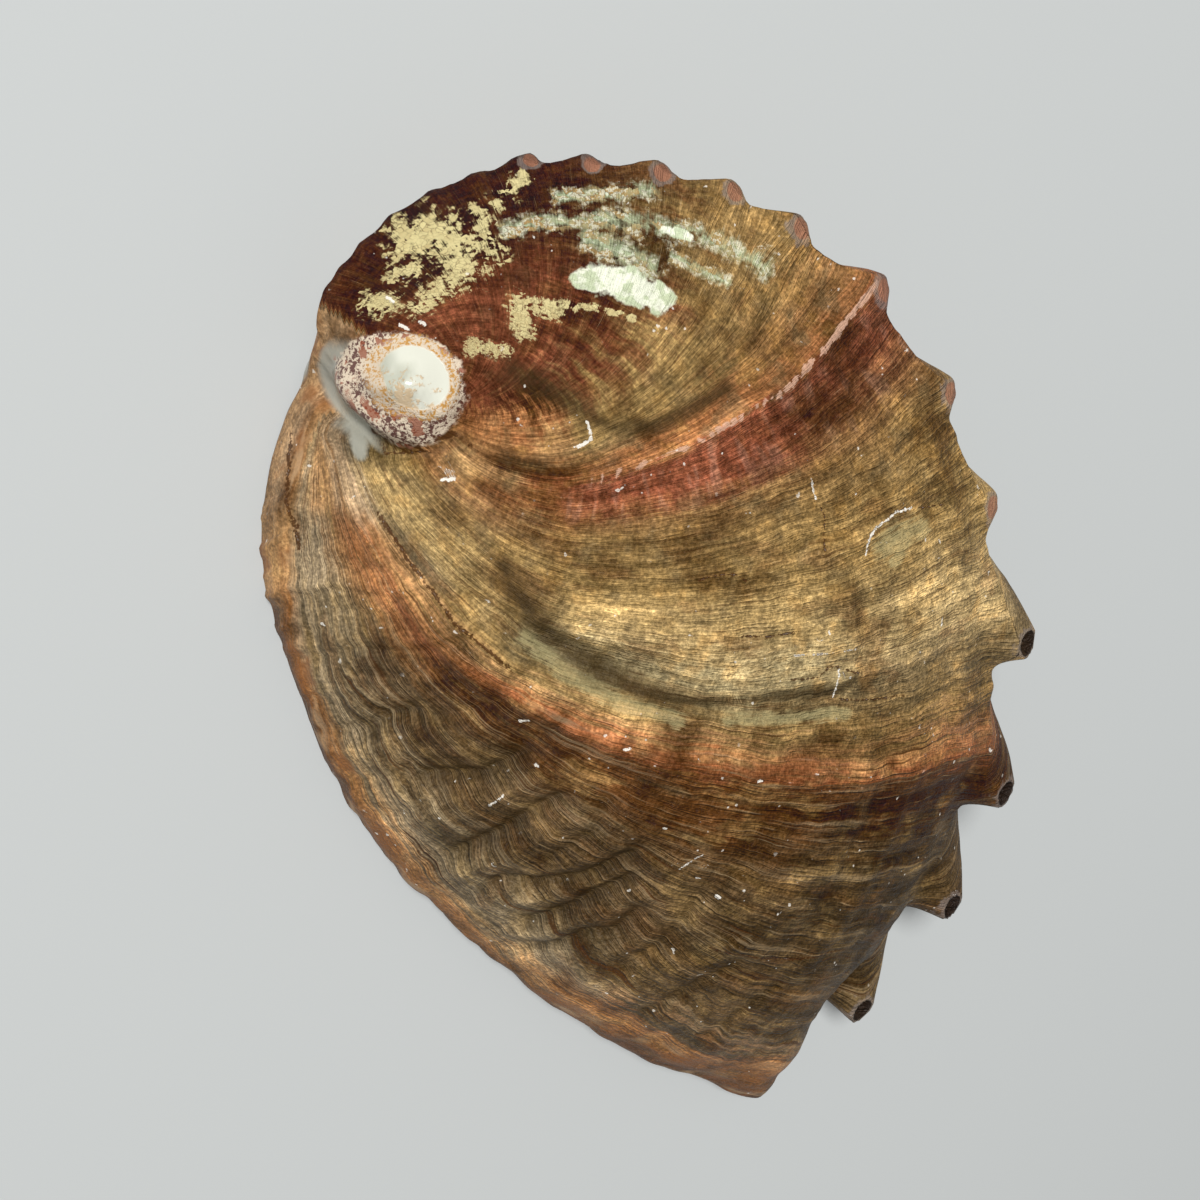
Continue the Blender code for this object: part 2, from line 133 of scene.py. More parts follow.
def smooth_curve(x, table, column):
    """Reads a column of a table at x along a curve that never overshoots its points."""
    xs = np.array([row[0] for row in table], float)
    ys = np.array([row[column] for row in table], float)
    step = np.diff(xs)
    rise = np.diff(ys) / step
    slope = np.zeros(len(xs))
    slope[0], slope[-1] = rise[0], rise[-1]
    same_way = rise[:-1] * rise[1:] > 0
    before, after = 2 * step[1:] + step[:-1], step[1:] + 2 * step[:-1]
    safe = np.where(same_way, rise[:-1] * rise[1:], 1.0)
    mean = (before + after) * safe / (before * rise[1:] + after * rise[:-1] + (~same_way))
    slope[1:-1] = np.where(same_way, mean, 0.0)
    i = np.clip(np.searchsorted(xs, x) - 1, 0, len(xs) - 2)
    t = np.clip((x - xs[i]) / step[i], 0, 1)
    return (
        (1 + 2 * t) * (1 - t) ** 2 * ys[i]
        + t * (1 - t) ** 2 * step[i] * slope[i]
        + t * t * (3 - 2 * t) * ys[i + 1]
        + t * t * (t - 1) * step[i] * slope[i + 1]
    )


def ease(x, start, end):
    """0 up to start, 1 from end on, and an even S between them."""
    t = np.clip((x - start) / (end - start), 0, 1)
    return t * t * (3 - 2 * t)


def bump(distance, width):
    return np.exp(-((distance / width) ** 2))


def growth_angle(x, y):
    """Clockwise angle about the apex, from FIRST_ANGLE round to the same place."""
    angle = -np.degrees(np.arctan2(y - APEX[1], x - APEX[0]))
    return (angle - FIRST_ANGLE) % 360 + FIRST_ANGLE


class Loop:
    """A closed curve round the shell, read by the clockwise bearing about its middle."""

    def __init__(self, points):
        bearing = self.bearing(points[:, 0], points[:, 1])
        order = np.argsort(bearing)
        bearing, points = bearing[order], points[order]
        self.bearings = np.concatenate([bearing - 360, bearing, bearing + 360])
        self.points = np.concatenate([points] * 3)

    @staticmethod
    def bearing(x, y):
        return np.degrees(np.arctan2(MIDDLE[1] - y, x - MIDDLE[0]))

    def at(self, bearing):
        return np.stack(
            [np.interp(bearing, self.bearings, column) for column in self.points.T], axis=-1
        )

    def softened(self, waves):
        """The same curve with only its first few waves round the middle."""
        even = np.arange(0, 360, 0.5)
        spectrum = np.fft.rfft(self.at(even), axis=0)
        spectrum[waves + 1 :] = 0
        return Loop(np.fft.irfft(spectrum, n=len(even), axis=0))

    def drawn_in(self, width, drop):
        """The same curve moved towards the middle by a width and lowered by a drop."""
        to_middle = MIDDLE - self.points[:, :2]
        to_middle /= np.linalg.norm(to_middle, axis=1, keepdims=True)
        points = self.points.copy()
        points[:, :2] += to_middle * width[:, None]
        points[:, 2] -= drop
        return Loop(points[: len(points) // 3])


def edge_loops():
    """The edge of the back and the foot of the side wall."""
    angle = np.arange(FIRST_ANGLE, FIRST_ANGLE + 360, 0.125)
    reach = smooth_curve(angle, EDGE, 1)
    height = smooth_curve(angle, EDGE, 2)
    spread = smooth_curve(angle, EDGE, 3)
    lift = smooth_curve(angle, RIM_LIFT, 1)
    c, s = np.cos(np.radians(angle)), -np.sin(np.radians(angle))
    crest = np.stack([APEX[0] + reach * c, APEX[1] + reach * s, height], axis=-1)
    foot = np.stack(
        [APEX[0] + (reach + spread) * c, APEX[1] + (reach + spread) * s, lift], axis=-1
    )
    return Loop(crest), Loop(foot)


def shoulder(height):
    """How much of a side wall stands below an edge of this height: 0 at the lip, 1 at the row."""
    return ease(height, 2.0, 14.0)


CREST, FOOT = edge_loops()
TALL = shoulder(CREST.points[:, 2])
CREST_INSET = LIP_THICKNESS + (WALL_THICKNESS - LIP_THICKNESS) * TALL
INNER_CREST = CREST.drawn_in(CREST_INSET, WALL_THICKNESS * TALL)
RIM_WIDTH = LIP_THICKNESS + (SHELF_WIDTH - LIP_THICKNESS) * shoulder(CREST.at(FOOT.bearings)[:, 2])
INNER_FOOT = FOOT.drawn_in(RIM_WIDTH, 0)


def ring_and_bearing(u, v):
    """Turns a place on a square sheet, -1 to 1, into a ring 0 to 1 and a bearing."""
    wide = np.abs(u) >= np.abs(v)
    ring = np.where(wide, u, v)
    other = np.where(wide, v, u)
    turn = 45 * other / np.where(ring == 0, 1, ring)
    bearing = np.where(wide, turn, 90 - turn)
    return np.abs(ring), bearing + np.where(ring < 0, 180, 0)


def smooth_form(crest, foot, top, ring, bearing, crowding):
    """A point of a dome inside its edge loop, then of the wall down to its foot.

    The dome's own outline fades from the exact edge to a soft one.  Crowding draws the rings
    towards the edge, where the tubes need them.  It also returns how far down the wall it is.
    """
    tall = shoulder(CREST.at(bearing)[..., 2])
    exact, below = crest.at(bearing), foot.at(bearing)
    split = 0.965 - 0.235 * tall
    share = 1 - (1 - np.clip(ring / split, 0, 1)) ** (1 + 0.25 * crowding)
    detail = (share**8)[..., None]
    edge = crest.softened(5).at(bearing) * (1 - detail) + exact * detail
    fullness = 0.62 + 0.38 * np.clip(edge[..., 2] / 30, 0, 1)
    dome = np.empty(edge.shape)
    dome[..., :2] = MIDDLE + share[..., None] * (edge[..., :2] - MIDDLE)
    dome[..., 2] = edge[..., 2] + (top - edge[..., 2]) * (1 - share**2.15) ** fullness
    down = np.clip((ring - split) / (1 - split), 0, 1) ** (1 + 0.5 * crowding * tall)
    outward = exact[..., :2] - MIDDLE
    outward /= np.linalg.norm(outward, axis=-1, keepdims=True)
    spread = ((below - exact)[..., :2] * outward).sum(axis=-1)
    belly = 0.24 * np.maximum(spread, 0) * tall * np.sin(math.pi * down) * (1 - 0.4 * down)
    wall = exact + (below - exact) * down[..., None]
    wall[..., :2] += outward * belly[..., None]
    return np.where((ring > split)[..., None], wall, dome), down


def row_reach(stage):
    """Logarithm of the distance from the apex to the row of holes at a stage of growth."""
    older = np.maximum(FIRST_ANGLE - stage, 0) * 0.01
    return np.log(smooth_curve(np.maximum(stage, FIRST_ANGLE), EDGE, 1)) - older


def line_fall(turned):
    """How far a growth line has closed in on the apex, in logarithms, after this turn."""
    past = np.maximum(turned - LINE_STRAIGHT, 0)
    fall = LINE_PITCH * np.minimum(turned, LINE_STRAIGHT)
    return fall + LINE_PITCH * LINE_EASING * (1 - np.exp(-past / LINE_EASING))


def growth_stage(x, y):
    """Growth angle at which the lip passed this place, found by halving."""
    angle = growth_angle(x, y)
    size = np.log(np.maximum(np.hypot(x - APEX[0], y - APEX[1]), 1.0))
    low, high = angle - 175, angle.copy()
    for _ in range(30):
        stage = 0.5 * (low + high)
        too_new = row_reach(stage) - line_fall(angle - stage) > size
        high = np.where(too_new, stage, high)
        low = np.where(too_new, low, stage)
    return stage


def growth_place(stage, turned):
    """The place in plan of a stage and a turn since the row of holes."""
    reach = np.exp(row_reach(np.asarray(stage, float)) - line_fall(np.asarray(turned, float)))
    angle = np.radians(np.add(stage, turned))
    return np.stack([APEX[0] + reach * np.cos(angle), APEX[1] - reach * np.sin(angle)], axis=-1)


def line_distance(x, y, line):
    """Distance in plan from each place to a line of points."""
    nearest = np.full(np.shape(x), np.inf)
    for start, end in zip(line[:-1], line[1:]):
        along = end - start
        length = max(float(along @ along), 1e-9)
        share = np.clip(((x - start[0]) * along[0] + (y - start[1]) * along[1]) / length, 0, 1)
        gap = np.hypot(x - start[0] - share * along[0], y - start[1] - share * along[1])
        nearest = np.minimum(nearest, gap)
    return nearest


# Growth relief of the back
# Each season's lip left its mark: two worn ridges where growth paused, a hollow before each,
# wrinkles square to the lip where it was last growing, and fine uneven growth lines. The small
# coiled top is the oldest part, rubbed smooth.
# Courses of the two ridges: turn since the row of holes, and stage
RED_RIDGE = ((0, 4.5), (12, 4.4), (20, 3.4), (30, 3.6), (38, 4.6), (44, 6.4), (50, 8.2),
             (62, 9.5), (80, 10.0))
ORANGE_RIDGE = ((-6, 52.0), (0, 50.0), (6, 49.2), (15, 49.7), (22, 50.8), (33, 53.6),
                (40, 56.0), (46, 58.3), (60, 60.5), (75, 67.0), (85, 72.8), (92, 77.0))
RED_STAGE, ORANGE_STAGE = 4.4, 50.0
# Depth of the deepest wrinkle on the back and on the hollow side, and the valleys of all of
# them, each a share of the depth and a line of places given as stage and turn
WRINKLE_DEPTH, INNER_WRINKLE_DEPTH = 1.9, 1.1
INNER_DIP_DEPTH = 1.2
WRINKLES = (
    (0.9, ((74.4, 35.0), (68.5, 34.5), (62.1, 35.5))),
    (0.9, ((76.1, 28.3), (74.7, 27.9), (68.6, 29.5), (63.9, 30.2))),
    (0.5, ((70.0, 25.4), (64.0, 26.2), (60.0, 28.0))),
    (0.9, ((75.5, 24.6), (74.1, 23.3), (72.2, 22.6), (69.5, 22.5), (64.4, 22.7))),
    (0.9, ((76.3, 20.9), (74.7, 20.2), (71.0, 20.7), (67.1, 21.0))),
    (0.8, ((77.7, 19.2), (76.4, 18.7), (74.9, 18.1), (73.1, 17.2), (69.7, 18.3))),
    (0.5, ((73.5, 15.0), (69.4, 15.8), (65.0, 17.0))),
    (0.5, ((76.5, 12.0), (73.0, 11.2), (70.0, 11.0))),
    (0.4, ((76.0, 8.0), (73.0, 7.6), (70.5, 7.5))),
    (0.6, ((76.5, 40.5), (74.5, 41.5), (71.0, 42.0))),
)
TOP_PLACE = (-28.1, 54.8)
# Edge of the coiled top: growth angle about its middle, and distance
TOP_EDGE = ((-124, 7.0), (-68, 5.0), (-26, 5.2), (16, 5.7), (64, 6.7), (111, 8.2), (154, 7.0),
            (196, 7.1), (218, 7.0), (236, 7.0))


def ripple(along, across, pitch, seed):
    """An uneven wave along one direction, drawn out in the other, from -1 to 1."""
    turn = 2 * math.pi / pitch
    sway = 0.8 * np.sin(0.37 * across + seed) + 0.5 * np.sin(0.83 * across + 2.3 * seed)
    wave = np.sin(turn * along + sway + seed)
    wave += 0.7 * np.sin(turn * 1.618 * along - 1.3 * sway + 3.1 * seed)
    wave += 0.5 * np.sin(turn * 0.571 * along + 0.7 * sway + 5.7 * seed)
    return wave / 2.2


def top_form(x, y):
    """Height of the small coiled top, and a share above 0 inside its edge.

    The top stands proud of a groove on its newer side.
    """
    dx, dy = x - TOP_PLACE[0], y - TOP_PLACE[1]
    distance = np.hypot(dx, dy)
    angle = (-np.degrees(np.arctan2(dy, dx)) - FIRST_ANGLE) % 360 + FIRST_ANGLE
    edge = smooth_curve(angle, TOP_EDGE, 1)
    newer_side = ease(angle, 0, 60) * (1 - ease(angle, 185, 225))
    raised = (0.5 + 1.5 * newer_side) * (1 - ease(distance, edge - 1.8, edge + 0.2))
    cap = 1.5 * (1 - ease(distance, 1.0, 4.6)) + 0.5 * bump(distance, 2.2)
    whorl = 2.0 + 0.0212 * (angle - FIRST_ANGLE)
    coil = -0.35 * ease(angle, -20, 60) * bump(distance - whorl, 0.45)
    groove = -1.4 * newer_side * bump(distance - edge - 0.7, 1.0)
    return raised + cap + coil + groove, (edge - distance) / edge


def relief(x, y, stage, turned):
    """Height of the relief over the plain form, and the wrinkles on their own, 0 to 1."""
    distance = np.hypot(x - APEX[0], y - APEX[1])
    away = ease(distance, 8, 20)
    red = stage - smooth_curve(turned, RED_RIDGE, 1)
    orange = stage - smooth_curve(turned, ORANGE_RIDGE, 1)
    red_fade = 1 - ease(turned, 44, 56)
    height = red_fade * (0.8 * bump(red, 2.2) + 0.35 * bump(red, 0.5))
    height -= (0.7 - 0.2 * red_fade) * bump(red + 8, 6)
    height += 0.8 * bump(orange, 2.0) + 0.22 * bump(orange + 0.3, 0.6) * (1 - ease(turned, 30, 60))
    dip = ease(turned, 26, 36) * (1 - ease(turned, 50, 60))
    height -= (0.6 + 1.4 * dip) * bump(orange + 8.5 + 3.5 * dip, 4.5 - 1.4 * dip)
    height += 0.6 * dip * bump(orange + 5.0, 2.2)
    wrinkles = np.zeros(np.shape(x))
    for depth, line in WRINKLES:
        gap = line_distance(x, y, [growth_place(*point) for point in line])
        wrinkles = np.maximum(wrinkles, depth * (0.62 * bump(gap, 2.8) + 0.38 * bump(gap, 0.9)))
    height -= WRINKLE_DEPTH * wrinkles
    late = ease(stage, 15, 50)
    cords = ripple(turned, 0.3 * stage, 6.5, 1.0) * (0.13 + 0.22 * late)
    cords += ripple(turned, 0.2 * stage, 2.7, 2.0) * (0.06 + 0.07 * bump(red - 5, 5) + 0.08 * late)
    lines = ripple(stage, 0.9 * turned, 4.6, 3.0) * (0.10 + 0.10 * late)
    lines += ripple(stage, 1.7 * turned, 1.9, 4.0) * (0.055 + 0.06 * late)
    height += (cords + lines) * ease(distance, 10, 30)
    height += 0.5 * bump(stage - LAST_STAGE - 0.6, 1.1) - 0.3 * bump(stage - LAST_STAGE + 2.0, 0.8)
    for angle in BEADS:
        turn = math.radians(angle)
        reach = float(np.exp(row_reach(angle))) - 0.9
        bead = np.hypot(x - APEX[0] - reach * math.cos(turn), y - APEX[1] + reach * math.sin(turn))
        height += 0.55 * bump(bead, 1.1) / np.maximum(away, 0.3)
    return height * away, wrinkles


# Tubes of the row of holes
# The animal breathed through a row of short tubes along the shoulder. The last four are still
# open, and the older ones were sealed with lime from inside as the shell grew on.
# Growth angle, distance of the mouth from the apex, height, width of the mouth, and reach
HOLES = (
    (71.2, 123.4, 11.8, 4.9, 8.5),
    (61.2, 117.4, 17.4, 4.9, 8.5),
    (51.9, 108.4, 22.0, 4.9, 8.0),
    (40.2, 94.6, 26.0, 4.8, 7.5),
    (29.2, 79.2, 28.0, 3.6, 6.5),
    (17.8, 68.0, 28.9, 3.2, 6.0),
    (5.0, 57.6, 28.7, 3.0, 5.5),
    (-6.2, 48.4, 27.6, 2.8, 4.8),
    (-15.6, 42.6, 25.9, 2.6, 4.4),
    (-25.6, 36.7, 23.9, 2.5, 4.0),
    (-36.5, 31.6, 21.8, 2.3, 3.6),
    (-48.0, 28.5, 19.9, 2.1, 3.2),
)
OPEN_HOLES = 4
# Bores are a little longer along the row than across it
BORE_LENGTH, BORE_WIDTH = 3.9, 3.5
DRILL_OUTSIDE = 5.0
DRILL_SIDES = 28
# Stands for any place far from a mouth or a mark
FAR = 9.0


def tube_frame(hole):
    """Mouth, axis, the way back along the row, the side and the mouth's own facing."""
    angle, reach, height, _, _ = hole
    turn = math.radians(angle)
    mouth = Vector((APEX[0] + reach * math.cos(turn), APEX[1] - reach * math.sin(turn), height))
    bearing = Loop.bearing(mouth.x, mouth.y)
    ahead = CREST.at(bearing + 4) - CREST.at(bearing - 4)
    along = Vector((ahead[0], ahead[1], 0)).normalized()
    outward = Vector((-along.y, along.x, 0))
    axis = (outward + 0.35 * along + 0.55 * Vector((0, 0, 1))).normalized()
    back = -(along - along.project(axis)).normalized()
    side = axis.cross(back)
    look = (0.40 * outward + 0.15 * along + 0.8 * Vector((0, 0, 1))).normalized()
    return mouth, axis, back, side, look


def raise_tube(points, hole, sealed):
    """Draws the shoulder out into a short tube, its mouth cut aslant or dished where sealed.

    It also returns each point's distance from the mouth's middle, 1 being the mouth's edge.
    """
    _, _, _, width, reach = hole
    mouth, axis, back, side, look = (np.array(v) for v in tube_frame(hole))
    from_mouth = points - mouth
    lengthways = from_mouth @ back
    crossways = from_mouth @ side
    spread = np.hypot(lengthways, crossways)
    toward_back = np.where(spread > 0, lengthways / np.maximum(spread, 1e-6), 0)
    near = np.abs(from_mouth @ axis) < 2.2 * reach
    # A slightly tilted plane that the older side of the tube rises to
    above = np.array([0.33 * axis[0], 0.33 * axis[1], np.hypot(axis[0], axis[1])])
    if sealed:
        foot = np.where(toward_back > 0, 1.4, 0.75) * reach * np.abs(toward_back)
        foot = np.hypot(foot, 0.8 * reach * np.sqrt(1 - toward_back**2))
        rise = (1 - np.clip(spread / foot, 0, 1) ** 2) ** 3
        gap = -(from_mouth @ above) / float(axis @ above)
        from_edge = np.hypot(lengthways / 1.35, crossways) / (width / 2)
        dish = 0.35 * (1 - ease(from_edge, 0.3, 0.95)) - 0.15 * bump(from_edge - 1, 0.3)
    else:
        # The tube runs far back along the row, and its mouth is cut aslant from the back edge
        foot = np.where(toward_back > 0, 1.9, 0.65) * reach * np.abs(toward_back)
        foot = np.hypot(foot, 0.85 * reach * np.sqrt(1 - toward_back**2))
        fade = np.clip((spread - width / 2) / np.maximum(foot - width / 2, 0.5), 0, 1)
        rise = (1 - fade) ** (1.9 - 0.7 * np.maximum(toward_back, 0))
        from_back = from_mouth - back * width / 2
        gap = -(from_back @ above) / float(axis @ above)
        gap = np.minimum(gap, -(from_back @ look) / float(axis @ look))
        from_edge, dish = spread / (width / 2), 0.0
    lift = rise * np.maximum(gap, 0) - dish
    points = points + axis * np.where(near, lift, 0)[:, None]
    return points, np.where(near, from_edge, FAR)


# Skin of the shell
# The back and the hollow side are two faces of the same thin wall, and they meet round the
# rim. Each is a sheet of small cells, drawn into shape by how the shell grew, and its growth
# coordinates are kept with it for the colours.
def sheet(name, segments):
    """A square sheet of faces, with the ring and bearing of each of its points."""
    mesh = bpy.data.meshes.new(name)
    bm = bmesh.new()
    bmesh.ops.create_grid(bm, x_segments=segments, y_segments=segments, size=1)
    bm.to_mesh(mesh)
    bm.free()
    places = np.empty(len(mesh.vertices) * 3, np.float32)
    mesh.vertices.foreach_get("co", places)
    u, v, _ = places.astype(float).reshape(-1, 3).T
    return mesh, *ring_and_bearing(u, -v)


def rim_order(ring, bearing):
    """Indexes of the outermost points of a sheet, in the order of their bearings."""
    outermost = np.flatnonzero(ring > 0.9999)
    return outermost[np.argsort(bearing[outermost])]


def place(mesh, points):
    mesh.vertices.foreach_set("co", np.ascontiguousarray(points, np.float32).ravel())
    mesh.update()


def normals(mesh):
    found = np.empty(len(mesh.vertices) * 3, np.float32)
    mesh.vertex_normals.foreach_get("vector", found)
    return found.astype(float).reshape(-1, 3)


# Marks on the back, each a half width and a line of places given as stage and turn: pale green
# and cream patches, a worn oval, white chips and scratches, and dark cracks and spots. The shade
# marks are painted shade along the hollows before the ridges and along a groove.
MARKS = {
    "mint": (
        (1.5, ((-38.5, 10.2), (-32.0, 11.0), (-25.5, 11.8))),
        (0.9, ((-58.0, 9.6), (-48.0, 8.4), (-38.0, 8.0))),
        (1.3, ((-36.0, 7.2), (-28.0, 6.4), (-18.0, 5.2), (-8.0, 4.6))),
        (0.8, ((-44.0, 4.6), (-34.0, 3.6), (-27.0, 2.4))),
        (0.7, ((-22.0, 9.4), (-12.0, 8.6))),
    ),
    "worn": (
        (1.7, ((-35.0, 16.9), (-29.0, 16.4), (-22.0, 15.3))),
        (1.1, ((-38.5, 17.6), (-34.0, 15.6), (-28.0, 14.4))),
        (0.6, ((-24.4, 6.6), (-20.0, 6.1))),
    ),
    "cream": (
        (2.2, ((-86.0, 5.6), (-79.0, 6.2), (-74.5, 10.0), (-76.5, 15.0))),
        (0.9, ((-71.0, 5.6), (-71.5, 8.6), (-69.0, 12.0))),
        (1.2, ((-64.0, 6.0), (-64.5, 14.0))),
        (0.9, ((-78.0, 17.5), (-90.0, 20.0), (-102.0, 22.0), (-112.0, 23.0))),
        (1.3, ((-122.0, 12.0), (-117.0, 15.0))),
        (1.2, ((-57.5, 27.0), (-55.0, 34.0))),
        (0.9, ((-54.0, 27.0), (-42.0, 25.0))),
        (1.0, ((-100.0, 10.0), (-94.0, 13.0))),
        (0.8, ((-86.0, 49.0), (-72.0, 47.5), (-60.0, 44.5))),
        (0.9, ((-58.0, 5.0), (-50.0, 1.6))),
        (0.35, ((-58.0, 25.0), (-45.0, 24.0), (-30.0, 21.2), (-24.0, 20.3))),
    ),
    # Painted shade along the hollows before the two ridges and along a groove
    "shade": (
        (1.4, ((-50.0, 52.0), (-34.0, 47.5), (-22.0, 44.5), (-14.0, 42.0))),
        (0.8, ((-14.0, 42.0), (-6.0, 37.0), (-3.0, 30.0))),
        (0.8, ((36.5, 56.0), (39.5, 53.0))),
        (1.5, ((39.5, 53.0), (42.0, 48.5), (43.8, 44.0), (44.2, 40.0), (44.4, 36.0))),
        (1.1, ((44.4, 36.0), (44.5, 31.5), (44.0, 29.0))),
        (0.6, ((44.0, 29.0), (42.6, 25.0), (41.0, 19.5), (40.6, 15.0), (39.5, 13.5))),
        (0.7, ((2.0, 56.0), (3.0, 62.0), (2.0, 68.0))),
        (0.8, ((-3.0, 30.0), (-2.2, 24.0), (-1.6, 18.0))),
    ),
    "sage": (
        (1.7, ((27.3, 9.9), (26.8, 8.0), (27.2, 6.2))),
        (1.0, ((29.1, 9.1), (27.5, 7.5))),
        (1.0, ((47.0, 46.0), (47.4, 40.0), (47.2, 34.0), (46.4, 28.0))),
        (0.9, ((44.6, 24.0), (43.4, 19.0), (42.8, 14.0))),
    ),
    "nacre": (
        (1.3, ((74.0, 122.0), (71.0, 101.5))),
        (0.6, ((71.0, 101.5), (63.5, 90.0))),
    ),
}
# Thin scratches and chips, white or dark, each a half width and a line in plan, in millimetres.
# The last two dark lines are a painted shadow along the crease under the coiled top.
WHITE_STREAKS = (
    (0.16, ((17.6, 17.8), (18.5, 19.6), (20.1, 20.6), (22.4, 20.9), (24.2, 21.3), (27.0, 20.8))),
    (0.08, ((12.6, 30.3), (12.4, 28.0))),
    (0.20, ((12.4, 27.6), (12.5, 27.2))),
    (0.17, ((9.8, 5.6), (9.2, 3.9), (8.2, 2.4))),
    (0.22, ((9.4, 11.1), (9.4, 10.8))),
    (0.14, ((29.1, 4.1), (28.7, 2.9))),
    (0.18, ((-12.3, 45.3), (-12.5, 42.9), (-14.6, 42.7))),
    (0.05, ((3.8, 10.2), (9.3, 8.2), (14.3, 6.8))),
    (0.17, ((-29.8, 14.0), (-29.0, 13.8))),
    (0.18, ((-29.9, 7.7), (-29.6, 7.4))),
    (0.18, ((-19.9, 7.4), (-19.4, 7.2))),
    (0.17, ((-15.1, -13.6), (-14.8, -13.9))),
    (0.22, ((-13.1, -18.1), (-12.8, -18.4))),
    (0.12, ((-17.7, -5.1), (-17.5, -5.3))),
    (0.18, ((-5.4, -2.8), (-5.0, -3.0))),
    (0.16, ((2.6, -5.7), (3.0, -5.9))),
    (0.16, ((10.7, -10.2), (11.0, -10.5))),
    (0.22, ((37.4, -21.8), (37.9, -22.4))),
    (0.13, ((-35.6, 3.2), (-33.6, 4.8))),
    (0.06, ((-17.0, -11.6), (-13.7, -10.5))),
    (0.22, ((-27.2, 63.7), (-26.7, 63.1))),
    (0.26, ((-27.0, 60.4), (-26.5, 59.9))),
    (0.20, ((-25.0, 60.2), (-24.7, 59.9))),
    (0.22, ((-28.9, 43.1), (-27.7, 42.8))),
)
DARK_STREAKS_AND_SHADOW = (
    (0.08, ((-5.9, 23.7), (-4.4, 23.8), (-2.6, 23.4), (-1.0, 22.7), (0.0, 21.5))),
    (0.07, ((27.9, 20.4), (33.1, 18.9))),
    (0.07, ((12.7, 26.4), (13.0, 25.0), (11.6, 20.9))),
    (0.09, ((2.7, 7.3), (6.2, 5.9), (8.5, 6.4), (9.6, 6.2), (11.5, 4.6), (13.5, 3.3))),
    (0.09, ((8.6, 2.0), (12.2, 0.0), (16.9, -2.0), (20.4, -3.3))),
    (0.08, ((-2.4, 15.3), (1.4, 13.8), (5.0, 12.9))),
    (0.12, ((-15.0, -25.9), (-10.0, -29.9), (-3.9, -34.1), (6.6, -39.4))),
    (0.14, ((-36.3, 41.0), (-35.3, 35.3), (-33.0, 27.5), (-29.0, 20.5))),
    (0.12, ((-40.4, 51.0), (-43.6, 43.8), (-44.8, 38.0))),
    # Painted shadow along the crease under the coiled top
    (0.30, ((-33.8, 50.1), (-31.3, 48.1), (-28.6, 47.6), (-26.3, 47.8))),
    (0.10, ((-33.5, 47.4), (-28.9, 46.4), (-24.9, 46.0))),
)
# Growth angles of the oldest holes, small pearly beads by now
BEADS = (-58.0, -70.0, -83.0, -96.0, -108.0, -118.0)


def marked(x, y, marks):
    """How much of a kind of mark is at each place: one half at a mark's edge."""
    most = np.full(np.shape(x), -1.0)
    for half_width, line in marks:
        gap = line_distance(x, y, [growth_place(*point) for point in line])
        most = np.maximum(most, 1 - gap / (2 * half_width))
    return most


def streaks(x, y):
    """Signed distance across the nearest thin mark, distance past its end, and its half width.

    The half width is below 0 for a dark mark.
    """
    nearest = np.full(np.shape(x), np.inf)
    across, beyond, width = np.full((3, *np.shape(x)), FAR)
    marks = [(half, line) for half, line in WHITE_STREAKS]
    marks += [(-half, line) for half, line in DARK_STREAKS_AND_SHADOW]
    for half, line in marks:
        for start, end in zip(np.array(line[:-1]), np.array(line[1:])):
            length = np.hypot(*(end - start))
            ahead = (end - start) / length
            dx, dy = x - start[0], y - start[1]
            lengthways = dx * ahead[0] + dy * ahead[1]
            sideways = dx * ahead[1] - dy * ahead[0]
            past = np.maximum(np.maximum(-lengthways, lengthways - length), 0)
            gap = np.hypot(sideways, past)
            closer = gap < nearest
            nearest = np.where(closer, gap, nearest)
            across = np.where(closer, sideways, across)
            beyond = np.where(closer, past, beyond)
            width = np.where(closer, half, width)
    return across, beyond, width


